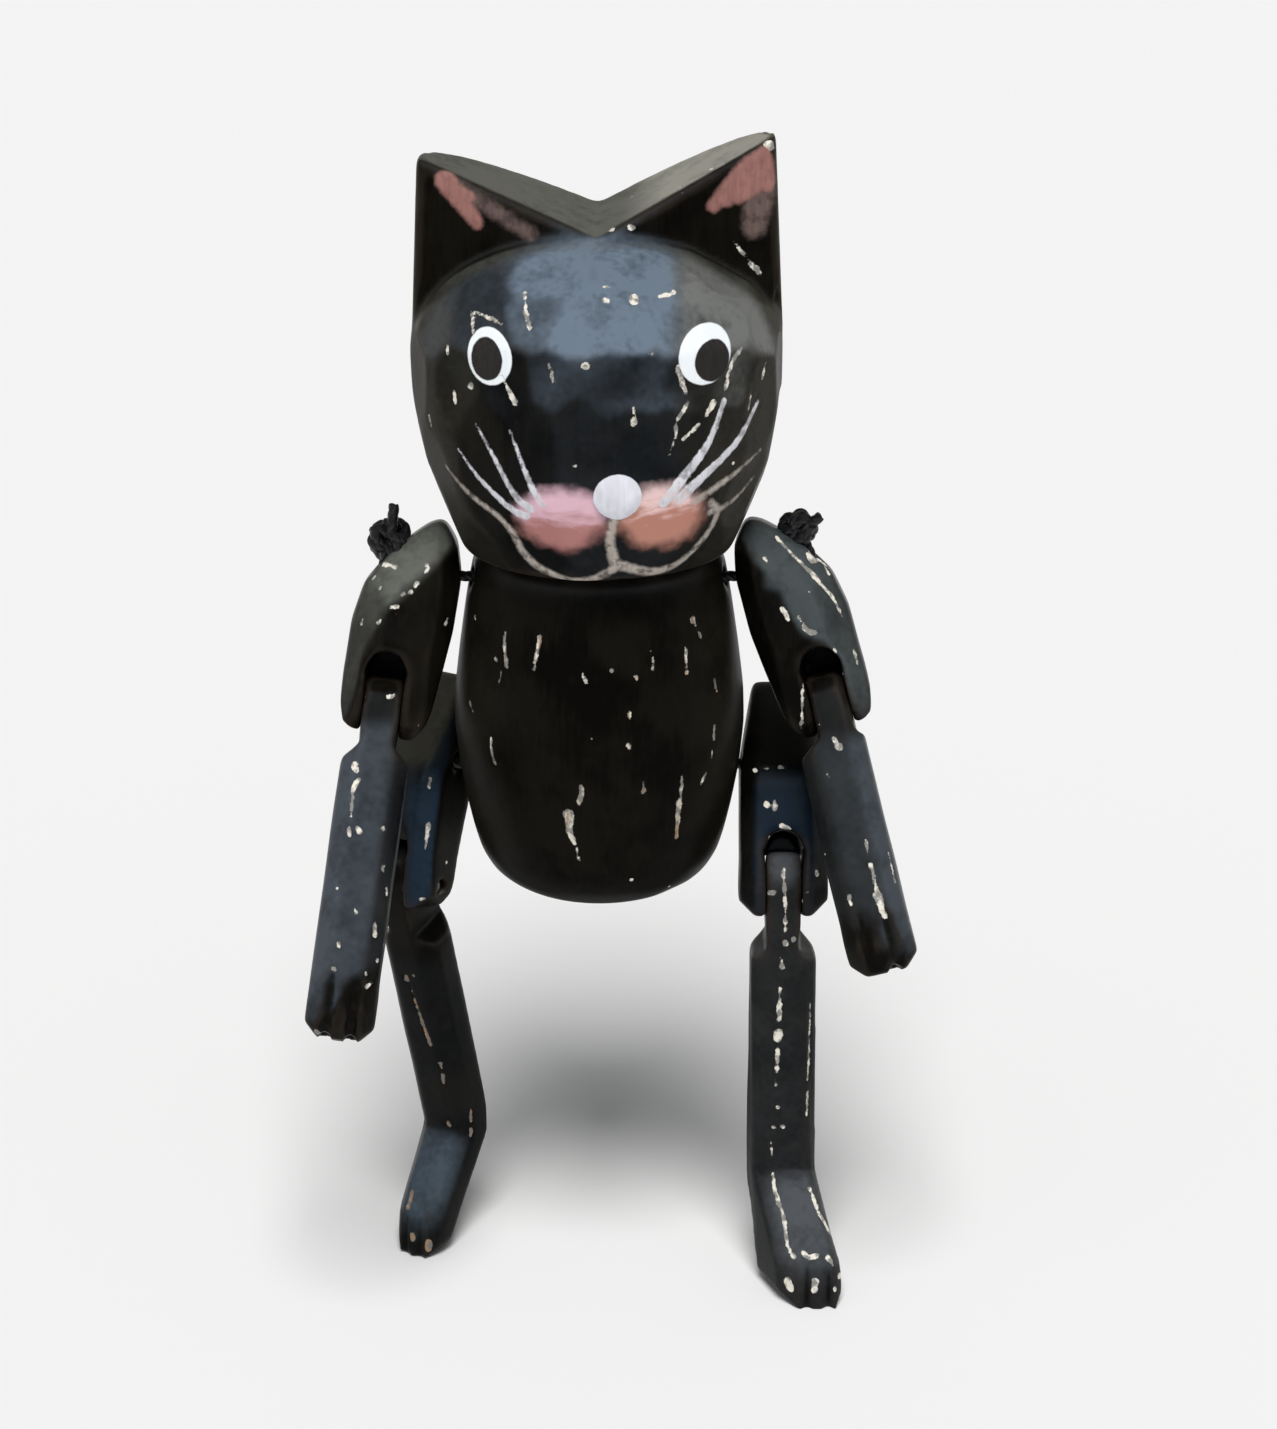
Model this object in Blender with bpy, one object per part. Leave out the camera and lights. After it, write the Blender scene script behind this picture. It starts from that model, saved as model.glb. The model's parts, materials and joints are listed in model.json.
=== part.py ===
"""Jointed wooden cat figurine: carved head and body, limbs strung on two cords, pinned elbows and knees."""

import itertools
import math

import bmesh
import bpy
import numpy as np
from mathutils import Matrix, Vector

MM = 0.001

# Fits shared by every joint
AIR = 0.35 * MM
HOLE_AIR = 0.4 * MM

# Head
HEAD_HALF_WIDTH = 24.6 * MM
HEAD_FRONT = 22.0 * MM
HEAD_BACK = 18.0 * MM
HEAD_AXIS_Y = -3.0 * MM
HEAD_LOWER = 26.8 * MM
HEAD_LOWER_CURVE = 37.7 * MM
HEAD_UPPER_CURVE = 16.6 * MM
CHIN_FORWARD = 2.0 * MM
JAW_CHAMFER = 0.9 * MM

# Ears
NOTCH_HEIGHT = 15.9 * MM
EAR_SLOPE_LEFT = 28.6
EAR_SLOPE_RIGHT = 22.8
EAR_TOP_HALF_WIDTH = 22.9 * MM
EAR_HEIGHT = 30.0 * MM
EAR_FRONT = 6.5 * MM
EAR_SWEEP = 10.0

# Neck
NECK_GAP = 0.5 * MM
NECK_WALL = 1.0 * MM
DOWEL_RADIUS = 2.2 * MM
DOWEL_IN_BODY = 10.0 * MM
DOWEL_IN_HEAD = 9.0 * MM

# Body
BODY_BOTTOM = 62.0 * MM
BODY_HEIGHT = 49.7 * MM
BODY_RADIUS = 19.9 * MM
BODY_DEPTH_SHARE = 0.92
BODY_PROFILE = (
    (1.0, 0.74), (0.988, 0.80), (0.96, 0.855), (0.905, 0.882), (0.829, 0.913), (0.714, 0.955),
    (0.584, 0.995), (0.479, 1.0), (0.362, 0.97), (0.262, 0.925), (0.181, 0.88), (0.119, 0.835),
    (0.07, 0.765), (0.04, 0.68), (0.016, 0.58), (0.0, 0.45),
)

# Cords and knots
CORD_RADIUS = 0.75 * MM
SHOULDER_BELOW_TOP = 4.4 * MM
SHOULDER_Y = -2.0 * MM
SHOULDER_INSET = 1.5 * MM
HIP_HEIGHT = 78.0 * MM
HIP_Y = 3.4 * MM
HIP_GAP = 0.35 * MM
KNOT_LONG = 2.8 * MM
KNOT_FLAT = 2.0 * MM
POCKET_DEPTH = 3.4 * MM

# Upper arms
ARM_WIDTH = 14.2 * MM
ARM_DEPTH = 12.6 * MM
ARM_TOP = 7.4 * MM
ARM_PITCH_LEFT = 19.3 * MM
ARM_PITCH_RIGHT = 18.7 * MM
ARM_END = 4.5 * MM
ARM_END_SLANT = 1.1 * MM
ARM_CHAMFER = 2.6 * MM
ARM_FACE_CHAMFER = 4.2 * MM
ELBOW_ROUND = 4.7 * MM
ELBOW_PLACE = 0.59
ELBOW_SLOT_RISE = 8.0 * MM
ELBOW_SLOT_BACK = 4.6 * MM
ELBOW_OPENING = 2.2 * MM

# Forearms
FOREARM_WIDTH = 9.4 * MM
FOREARM_DEPTH = 9.4 * MM
FOREARM_LENGTH_LEFT = 37.7 * MM
FOREARM_LENGTH_RIGHT = 45.7 * MM
FOREARM_INSET_LEFT = 1.1 * MM
FOREARM_INSET_RIGHT = 0.0 * MM
FOREARM_CHAMFER = 2.0 * MM
PAW_BEVEL = 7.5 * MM
ELBOW_TONGUE = 4.8 * MM
ELBOW_SHOULDER_LEFT = 5.1 * MM
ELBOW_SHOULDER_RIGHT = 6.2 * MM
SHOULDER_SLOPE = 2.8 * MM

# Thighs
THIGH_WIDTH = 12.3 * MM
THIGH_DEPTH = 13.0 * MM
THIGH_TOP = 12.0 * MM
THIGH_PITCH = 18.0 * MM
THIGH_END = 3.3 * MM
THIGH_CHAMFER = 2.3 * MM
THIGH_TAPER = 0.17
KNEE_SLOT_RISE = 8.6 * MM
KNEE_SLOT_BACK = 4.9 * MM
KNEE_OPENING = 5.2 * MM

# Lower legs
SHIN_WIDTH = 9.4 * MM
SHIN_DEPTH = 8.0 * MM
SHIN_CHAMFER = 2.0 * MM
KNEE_TONGUE = 4.6 * MM
KNEE_TONGUE_TOP = 6.2 * MM
KNEE_SHOULDER = 7.2 * MM
ANKLE_DROP = 46.0 * MM
HEEL_RISE = 4.0 * MM
INSTEP_RISE = 2.5 * MM
FOOT_REACH = 12.8 * MM
TOE_HEIGHT = 7.0 * MM
TOE_BACKSET = 1.2 * MM
SOLE_LEFT = 10.0 * MM
SOLE_RIGHT = 6.0 * MM
TOE_NOTCH = 0.95 * MM
TOE_NOTCH_OUT = 0.15 * MM
TOE_NOTCH_IN = 0.9 * MM
TOE_NOTCH_SPARE = 3.0 * MM
TOE_NARROW_LEFT = 0.0
TOE_NARROW_RIGHT = 0.2
HEEL_BACK = 0.7
HEEL_DROP = 1.5 * MM

# Pins
PIN_RADIUS = 0.75 * MM
PIN_RECESS = 0.6 * MM

# Standing pose, in degrees
SPLAY_LEFT = 14.5
SPLAY_RIGHT = 8.0
ARM_LEAN_LEFT = 12.0
ARM_LEAN_RIGHT = 12.0
FOREARM_LEAN_LEFT = 26.0
FOREARM_LEAN_RIGHT = 30.0
LEG_YAW_LEFT = 0.0
LEG_YAW_RIGHT = 30.0
THIGH_LEAN_LEFT = 24.0
THIGH_LEAN_RIGHT = 17.0
SHIN_LEAN_LEFT = 5.0
SHIN_LEAN_RIGHT = 15.0
TOE_OUT_LEFT = 0.44
TOE_OUT_RIGHT = 0.04

# Heights that follow from the sizes above
BODY_TOP = BODY_BOTTOM + BODY_HEIGHT
UNDERSIDE = BODY_TOP + NECK_GAP
SHOULDER_HEIGHT = BODY_TOP - SHOULDER_BELOW_TOP
SHOULDER_X = BODY_RADIUS - SHOULDER_INSET
CORD_HOLE = CORD_RADIUS + HOLE_AIR
PIN_HOLE = PIN_RADIUS + HOLE_AIR
DOWEL_HOLE = DOWEL_RADIUS + AIR
NECK_Y = SHOULDER_Y - CORD_HOLE - NECK_WALL - DOWEL_HOLE

for old in list(bpy.data.objects):
    bpy.data.objects.remove(old, do_unlink=True)

PARTS = bpy.data.collections.new("wooden_cat_figurine")
CUTTERS = bpy.data.collections.new("cutters")
bpy.context.scene.collection.children.link(PARTS)
bpy.context.scene.collection.children.link(CUTTERS)


def paint(name, colour, roughness, metallic=0.0):
    """One plain Principled material."""
    made = bpy.data.materials.new(name)
    made.use_nodes = True
    shader = made.node_tree.nodes["Principled BSDF"]
    shader.inputs["Base Color"].default_value = (*colour, 1.0)
    shader.inputs["Roughness"].default_value = roughness
    shader.inputs["Metallic"].default_value = metallic
    return made


BLACK = (0.011, 0.011, 0.013)
COTTON = (0.035, 0.030, 0.027)
STEEL = (0.50, 0.49, 0.47)
WOOD = (0.55, 0.40, 0.25)


def joint(name, parent, place, turn=(0.0, 0.0, 0.0)):
    """An empty on a joint axis."""
    made = bpy.data.objects.new(name, None)
    PARTS.objects.link(made)
    made.parent = parent
    made.location = place
    made.rotation_euler = turn
    return made


def solid(name, shape, parent, colour=None, roughness=0.4, metallic=0.0):
    """A named part from a bmesh, or a hidden cutter when no colour is given."""
    bmesh.ops.recalc_face_normals(shape, faces=shape.faces)
    mesh = bpy.data.meshes.new(name)
    shape.to_mesh(mesh)
    shape.free()
    made = bpy.data.objects.new(name, mesh)
    made.parent = parent
    if colour is None:
        CUTTERS.objects.link(made)
        made.hide_render = True
        made.display_type = "WIRE"
    else:
        PARTS.objects.link(made)
        mesh.materials.append(paint(name, colour, roughness, metallic))
    return made


def boolean(target, other, operation="DIFFERENCE"):
    modifier = target.modifiers.new(other.name, "BOOLEAN")
    modifier.operation = operation
    modifier.solver = "EXACT"
    modifier.object = other


def prism(outline, low, high, chamfer, place):
    """An outline drawn from one side to the other, with both rims chamfered."""
    shape = bmesh.new()
    near = [shape.verts.new(place(a, b, low)) for a, b in outline]
    far = [shape.verts.new(place(a, b, high)) for a, b in outline]
    caps = [shape.faces.new(near), shape.faces.new(far)]
    count = len(outline)
    for i in range(count):
        k = (i + 1) % count
        shape.faces.new((near[i], near[k], far[k], far[i]))
    bmesh.ops.recalc_face_normals(shape, faces=shape.faces)
    if chamfer > 0:
        rims = [edge for cap in caps for edge in cap.edges]
        bmesh.ops.bevel(
            shape, geom=rims, offset=chamfer, offset_type="OFFSET", segments=1, profile=0.5,
            affect="EDGES", clamp_overlap=False,
        )
    return shape


def outline_planes(outline, place, low, high, chamfer, low_chamfers=None):
    """Planes that bound a convex outline drawn from low to high, its two rims chamfered."""
    low_chamfers = low_chamfers or [chamfer] * len(outline)
    pairs = list(zip(outline, outline[1:] + outline[:1]))
    turn = sum(a0 * b1 - a1 * b0 for (a0, b0), (a1, b1) in pairs)
    sign = 1.0 if turn > 0 else -1.0
    planes = []
    for ((a0, b0), (a1, b1)), low_chamfer in zip(pairs, low_chamfers):
        long = math.hypot(a1 - a0, b1 - b0)
        na = sign * (b1 - b0) / long
        nb = -sign * (a1 - a0) / long
        planes.append((place(a0, b0, (low + high) / 2), place(na, nb, 0.0)))
        if chamfer > 0:
            planes.append((place(a0, b0, high - chamfer), place(na, nb, 1.0)))
            planes.append((place(a0, b0, low + low_chamfer), place(na, nb, -1.0)))
    planes.append((place(*outline[0], high), place(0.0, 0.0, 1.0)))
    planes.append((place(*outline[0], low), place(0.0, 0.0, -1.0)))
    return planes


def hewn(planes):
    """The convex block that lies inside every plane, from the corners where three planes meet."""
    normals = np.array([Vector(normal).normalized() for _, normal in planes])
    reach = (normals * np.array([point for point, _ in planes])).sum(axis=1)
    threes = np.array(list(itertools.combinations(range(len(planes)), 3)))
    meeting = normals[threes]
    crossing = np.abs(np.linalg.det(meeting)) > 1e-3
    corners = np.linalg.solve(meeting[crossing], reach[threes[crossing]][..., None])[..., 0]
    inside = (corners @ normals.T <= reach + 0.0002 * MM).all(axis=1)
    corners = np.unique(np.round(corners[inside] / (0.001 * MM)), axis=0) * 0.001 * MM
    shape = bmesh.new()
    for corner in corners:
        shape.verts.new(corner)
    bmesh.ops.remove_doubles(shape, verts=shape.verts, dist=0.03 * MM)
    hull = bmesh.ops.convex_hull(shape, input=shape.verts)
    spare = set(hull["geom_interior"] + hull["geom_unused"])
    loose = [item for item in spare if isinstance(item, bmesh.types.BMVert)]
    bmesh.ops.delete(shape, geom=loose, context="VERTS")
    bmesh.ops.dissolve_limit(shape, angle_limit=math.radians(0.3), verts=shape.verts, edges=shape.edges)
    return shape


def side_place(a, b, c):
    """Outline across y and z, drawn along x."""
    return (c, a, b)


def front_place(a, b, c):
    """Outline across x and z, drawn along y."""
    return (a, c, b)


def rod(radius, start, end, sides=16):
    """A cylinder from one point to another."""
    start = Vector(start)
    end = Vector(end)
    shape = bmesh.new()
    bmesh.ops.create_cone(
        shape, cap_ends=True, segments=sides, radius1=radius, radius2=radius, depth=(end - start).length
    )
    turn = (end - start).to_track_quat("Z", "Y").to_matrix().to_4x4()
    bmesh.ops.transform(shape, matrix=Matrix.Translation((start + end) / 2) @ turn, verts=shape.verts)
    return shape


def lump(centre, radii, turn=Matrix.Identity(4)):
    """A tight knot as one closed rounded lump."""
    shape = bmesh.new()
    bmesh.ops.create_uvsphere(shape, u_segments=14, v_segments=9, radius=1.0)
    size = Matrix.Diagonal((*radii, 1.0))
    bmesh.ops.transform(shape, matrix=Matrix.Translation(centre) @ turn @ size, verts=shape.verts)
    return shape


def cord(name, points, parent, colour):
    """A cord along straight runs, closed at both ends."""
    path = bpy.data.curves.new(name, "CURVE")
    path.dimensions = "3D"
    path.bevel_depth = CORD_RADIUS
    path.bevel_resolution = 2
    path.use_fill_caps = True
    run = path.splines.new("POLY")
    run.points.add(len(points) - 1)
    for spot, point in zip(run.points, points):
        spot.co = (*point, 1.0)
    made = bpy.data.objects.new(name, path)
    PARTS.objects.link(made)
    made.parent = parent
    path.materials.append(paint(name, colour, 0.85))
    return made


FIGURE = joint("figure", None, (0.0, 0.0, 0.0))


def body_radius(height):
    """Half width of the barrel at a height above the ground."""
    share = (height - BODY_BOTTOM) / BODY_HEIGHT
    levels = [level for level, _ in reversed(BODY_PROFILE)]
    radii = [radius for _, radius in reversed(BODY_PROFILE)]
    return float(np.interp(share, levels, radii)) * BODY_RADIUS


def make_body():
    shape = bmesh.new()
    sides = 48
    rings = []
    for level, share in BODY_PROFILE:
        ring = []
        for i in range(sides):
            angle = 2 * math.pi * i / sides
            across = share * BODY_RADIUS * math.cos(angle)
            deep = share * BODY_RADIUS * BODY_DEPTH_SHARE * math.sin(angle)
            ring.append(shape.verts.new((across, deep, BODY_BOTTOM + level * BODY_HEIGHT)))
        rings.append(ring)
    for upper, lower in zip(rings, rings[1:]):
        for i in range(sides):
            k = (i + 1) % sides
            shape.faces.new((upper[i], upper[k], lower[k], lower[i]))
    shape.faces.new(rings[0])
    shape.faces.new(rings[-1])
    body = solid("body", shape, FIGURE, BLACK)
    far = 2 * BODY_RADIUS
    for name, y, z in (
        ("shoulder_bore", SHOULDER_Y, SHOULDER_HEIGHT),
        ("hip_bore", HIP_Y, HIP_HEIGHT),
    ):
        boolean(body, solid(name, rod(CORD_HOLE, (-far, y, z), (far, y, z)), FIGURE))
    floor_of_hole = BODY_TOP - DOWEL_IN_BODY - AIR
    hole = rod(DOWEL_HOLE, (0, NECK_Y, floor_of_hole), (0, NECK_Y, BODY_TOP + far), 24)
    boolean(body, solid("neck_bore", hole, FIGURE))
    foot = (0, NECK_Y, BODY_TOP - DOWEL_IN_BODY)
    dowel = rod(DOWEL_RADIUS, foot, (0, NECK_Y, UNDERSIDE + DOWEL_IN_HEAD), 24)
    solid("neck_dowel", dowel, FIGURE, WOOD, 0.6)


def make_head():
    neck = joint("neck_joint", FIGURE, (0.0, NECK_Y, UNDERSIDE))
    shape = bmesh.new()
    bmesh.ops.create_uvsphere(shape, u_segments=44, v_segments=26, radius=1.0)
    for vert in shape.verts:
        x, y, z = vert.co
        tall = HEAD_UPPER_CURVE if z > 0 else HEAD_LOWER_CURVE
        deep = HEAD_FRONT if y < 0 else HEAD_BACK
        forward = CHIN_FORWARD * max(0.0, -z) * HEAD_LOWER_CURVE / HEAD_LOWER
        across = HEAD_HALF_WIDTH * x
        vert.co = (across, HEAD_AXIS_Y - NECK_Y - forward + deep * y, HEAD_LOWER + tall * z)
    cut = bmesh.ops.bisect_plane(
        shape, geom=shape.verts[:] + shape.edges[:] + shape.faces[:], dist=1e-7,
        plane_co=(0, 0, 0), plane_no=(0, 0, -1), clear_outer=True,
    )
    rim = [edge for edge in cut["geom_cut"] if isinstance(edge, bmesh.types.BMEdge)]
    bmesh.ops.holes_fill(shape, edges=rim, sides=0)
    bmesh.ops.bevel(
        shape, geom=rim, offset=JAW_CHAMFER, offset_type="OFFSET", segments=1, profile=0.5,
        affect="EDGES", clamp_overlap=False,
    )
    head = solid("head", shape, neck, BLACK)

    ears = bmesh.new()
    bmesh.ops.create_cone(
        ears, cap_ends=True, segments=48, radius1=HEAD_HALF_WIDTH * 0.992, radius2=EAR_TOP_HALF_WIDTH,
        depth=EAR_HEIGHT,
    )
    squeeze = Matrix.Diagonal((1.0, HEAD_BACK / HEAD_HALF_WIDTH, 1.0, 1.0))
    lift = Matrix.Translation((0.0, HEAD_AXIS_Y - NECK_Y, HEAD_LOWER + EAR_HEIGHT / 2))
    bmesh.ops.transform(ears, matrix=lift @ squeeze, verts=ears.verts)
    sweep = math.radians(EAR_SWEEP)
    for side in (-1, 1):
        cut = bmesh.ops.bisect_plane(
            ears, geom=ears.verts[:] + ears.edges[:] + ears.faces[:], dist=1e-7,
            plane_co=(0, HEAD_AXIS_Y - NECK_Y - EAR_FRONT, 0),
            plane_no=(side * math.sin(sweep), -math.cos(sweep), 0), clear_outer=True,
        )
        edges = [edge for edge in cut["geom_cut"] if isinstance(edge, bmesh.types.BMEdge)]
        bmesh.ops.holes_fill(ears, edges=edges, sides=0)
    boolean(head, solid("ear_block", ears, neck), "UNION")

    far = 4 * HEAD_HALF_WIDTH
    notch = HEAD_LOWER + NOTCH_HEIGHT
    left = math.tan(math.radians(EAR_SLOPE_LEFT)) * far
    right = math.tan(math.radians(EAR_SLOPE_RIGHT)) * far
    high = notch + far
    outline = ((0, notch), (far, notch + left), (far, high), (-far, high), (-far, notch + right))
    boolean(head, solid("ear_cut", prism(outline, -far, far, 0, front_place), neck))
    hole = rod(DOWEL_HOLE, (0, 0, -far), (0, 0, DOWEL_IN_HEAD + AIR), 24)
    boolean(head, solid("head_bore", hole, neck))


def cut_fork(target, name, parent, middle, pin, slot, rise, back, opening):
    """Cuts a fork's slot, open in front up to its arched top and behind only to just above the pin."""
    far = 4 * THIGH_WIDTH
    top = pin + rise
    arch = [
        (middle - slot, -far), (middle + slot, -far), (middle + slot, top - slot),
        (middle + 0.6 * slot, top - 0.2 * slot), (middle, top),
        (middle - 0.6 * slot, top - 0.2 * slot), (middle - slot, top - slot),
    ]
    boolean(target, solid(name, prism(arch, -far, back, 0, front_place), parent))
    rear = [
        (middle - slot, -far), (middle + slot, -far), (middle + slot, pin + opening),
        (middle - slot, pin + opening),
    ]
    boolean(target, solid(name + "_rear", prism(rear, 0, far, 0, front_place), parent))


def make_arm(word, side, splay, lean, pitch, forearm_lean, forearm_length, shoulder_drop, inset):
    shoulder = joint(
        "shoulder_joint_" + word, FIGURE, (side * SHOULDER_X, SHOULDER_Y, SHOULDER_HEIGHT),
        (0.0, -side * math.radians(splay), 0.0),
    )
    arm = joint("upper_arm_joint_" + word, shoulder, (0, 0, 0), (-math.radians(lean), 0.0, 0.0))
    wide = ARM_WIDTH
    top = ARM_TOP
    elbow = -pitch
    end = elbow - ARM_END
    front = [
        (0.0, 0.0), (0.07 * wide, 0.62 * top), (0.20 * wide, 0.95 * top), (0.27 * wide, top),
        (0.38 * wide, 0.88 * top), (0.53 * wide, 0.62 * top), (0.74 * wide, 0.20 * top),
        (0.91 * wide, -0.32 * top), (0.985 * wide, -top), (wide, 0.75 * elbow), (0.985 * wide, elbow),
        (0.94 * wide, 0.6 * end + 0.4 * elbow), (0.86 * wide, end + ARM_END_SLANT), (0.28 * wide, end),
        (0.17 * wide, 0.5 * end + 0.5 * elbow), (0.12 * wide, elbow), (0.06 * wide, 0.7 * elbow),
        (0.01 * wide, 0.4 * elbow),
    ]
    front = [(side * a, b) for a, b in front]
    half = ARM_DEPTH / 2
    outline = [
        (-half, 0.25 * top), (-0.75 * half, 0.8 * top), (-0.4 * half, 1.02 * top),
        (0.4 * half, 1.02 * top), (0.75 * half, 0.8 * top), (half, 0.25 * top),
        (half, 0.6 * elbow),
    ]
    for angle in np.linspace(0.0, math.pi, 9):
        outline.append((ELBOW_ROUND * math.cos(angle), elbow - ELBOW_ROUND * math.sin(angle)))
    outline.append((-half, 0.6 * elbow))
    face_chamfers = [ARM_CHAMFER] * 2 + [ARM_FACE_CHAMFER] * 7 + [ARM_CHAMFER] * (len(front) - 9)
    planes = outline_planes(front, front_place, -half, half, ARM_CHAMFER, face_chamfers)
    planes += outline_planes(outline, side_place, -2 * wide, 2 * wide, 0)
    upper = solid("upper_arm_" + word, hewn(planes), arm, BLACK)
    middle = side * ELBOW_PLACE * wide
    slot = ELBOW_TONGUE / 2 + AIR
    fork = (slot, ELBOW_SLOT_RISE, ELBOW_SLOT_BACK, ELBOW_OPENING)
    cut_fork(upper, "elbow_slot_" + word, arm, middle, elbow, *fork)
    far = 2 * wide
    boolean(upper, solid("arm_bore_" + word, rod(CORD_HOLE, (-far, 0, 0), (far, 0, 0)), arm))
    hole = rod(PIN_HOLE, (-far, 0, elbow), (far, 0, elbow), 12)
    boolean(upper, solid("elbow_bore_" + word, hole, arm))
    pin_inner = side * (0.12 * wide + PIN_RECESS)
    pin_outer = side * (0.985 * wide - PIN_RECESS)
    pin = rod(PIN_RADIUS, (pin_inner, 0, elbow), (pin_outer, 0, elbow), 12)
    solid("elbow_pin_" + word, pin, arm, STEEL, 0.35, 1.0)

    slope = math.atan2(0.42 * top, 0.21 * wide)
    outward = Vector((side * math.sin(slope), 0, math.cos(slope)))
    seat = Vector((side * 0.64 * wide, 0, 0.40 * top))
    centre = seat + outward * (KNOT_FLAT + AIR)
    tilt = Matrix.Rotation(side * slope, 4, "Y")
    knot = lump(centre, (KNOT_LONG, KNOT_LONG, KNOT_FLAT), tilt)
    solid("shoulder_knot_" + word, knot, arm, COTTON, 0.85)

    bend = math.radians(lean - forearm_lean)
    hinge = joint("elbow_joint_" + word, arm, (middle, 0, elbow), (bend, 0.0, 0.0))
    deep = FOREARM_DEPTH / 2
    tip = -forearm_length
    outline = [
        (-0.9 * deep, 0.15 * deep), (-0.64 * deep, 0.64 * deep), (0, 0.9 * deep),
        (0.64 * deep, 0.64 * deep), (0.9 * deep, 0.15 * deep), (deep, -shoulder_drop),
        (deep, tip + 0.35 * PAW_BEVEL), (0.75 * deep, tip), (-0.1 * deep, tip),
        (-0.72 * deep, tip + 0.5 * PAW_BEVEL), (-deep, tip + PAW_BEVEL), (-deep, -shoulder_drop),
    ]
    broad = FOREARM_WIDTH / 2
    shift = -side * inset
    shape = hewn(outline_planes(outline, side_place, shift - broad, shift + broad, FOREARM_CHAMFER))
    forearm = solid("forearm_" + word, shape, hinge, BLACK)
    cut_tongue(forearm, "elbow_cheek_" + word, hinge, ELBOW_TONGUE, shoulder_drop, broad + inset)
    hole = rod(PIN_HOLE, (-far, 0, 0), (far, 0, 0), 12)
    boolean(forearm, solid("forearm_bore_" + word, hole, hinge))
    for place in (-1, 1):
        x = shift + place * FOREARM_WIDTH / 6
        upper_end = (x, -1.12 * deep, tip + 1.12 * PAW_BEVEL)
        groove = rod(TOE_NOTCH, upper_end, (x, -0.07 * deep, tip - 0.4 * PAW_BEVEL), 4)
        boolean(forearm, solid(f"paw_groove_{word}_{place + 1}", groove, hinge))


def cut_tongue(target, name, parent, tongue, shoulder, broad):
    """Takes both cheeks off the upper end and leaves a tongue with sloped shoulders."""
    for side in (-1, 1):
        outer = broad + 3 * AIR
        outline = [
            (side * tongue / 2, 4 * broad), (side * tongue / 2, -shoulder),
            (side * outer, -shoulder - SHOULDER_SLOPE), (side * outer, 4 * broad),
        ]
        cheek = prism(outline, -4 * broad, 4 * broad, 0, front_place)
        boolean(target, solid(f"{name}_{side + 1}", cheek, parent))


def hip_place():
    """Half width of the barrel where the hip bore comes out."""
    radius = body_radius(HIP_HEIGHT)
    return radius * math.sqrt(1 - (HIP_Y / (BODY_DEPTH_SHARE * radius)) ** 2)


def stand_off(yaw):
    """Room along the hip axis that lets the turned thigh clear the barrel."""
    turn = math.radians(yaw)
    half = THIGH_DEPTH / 2
    most = 0.0
    for height in np.linspace(HIP_HEIGHT - THIGH_PITCH, HIP_HEIGHT + THIGH_TOP, 15):
        radius = body_radius(height)
        for angle in np.linspace(-1.2, 1.2, 49):
            across = radius * math.cos(angle) - hip_place()
            deep = BODY_DEPTH_SHARE * radius * math.sin(angle) - HIP_Y
            along = abs(across * math.sin(turn) - deep * math.cos(turn))
            if along < half:
                out = across * math.cos(turn) + deep * math.sin(turn)
                out -= THIGH_TAPER * max(0.0, height - HIP_HEIGHT)
                most = max(most, out - max(0.0, along - half + THIGH_CHAMFER))
    return HIP_GAP + most


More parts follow.
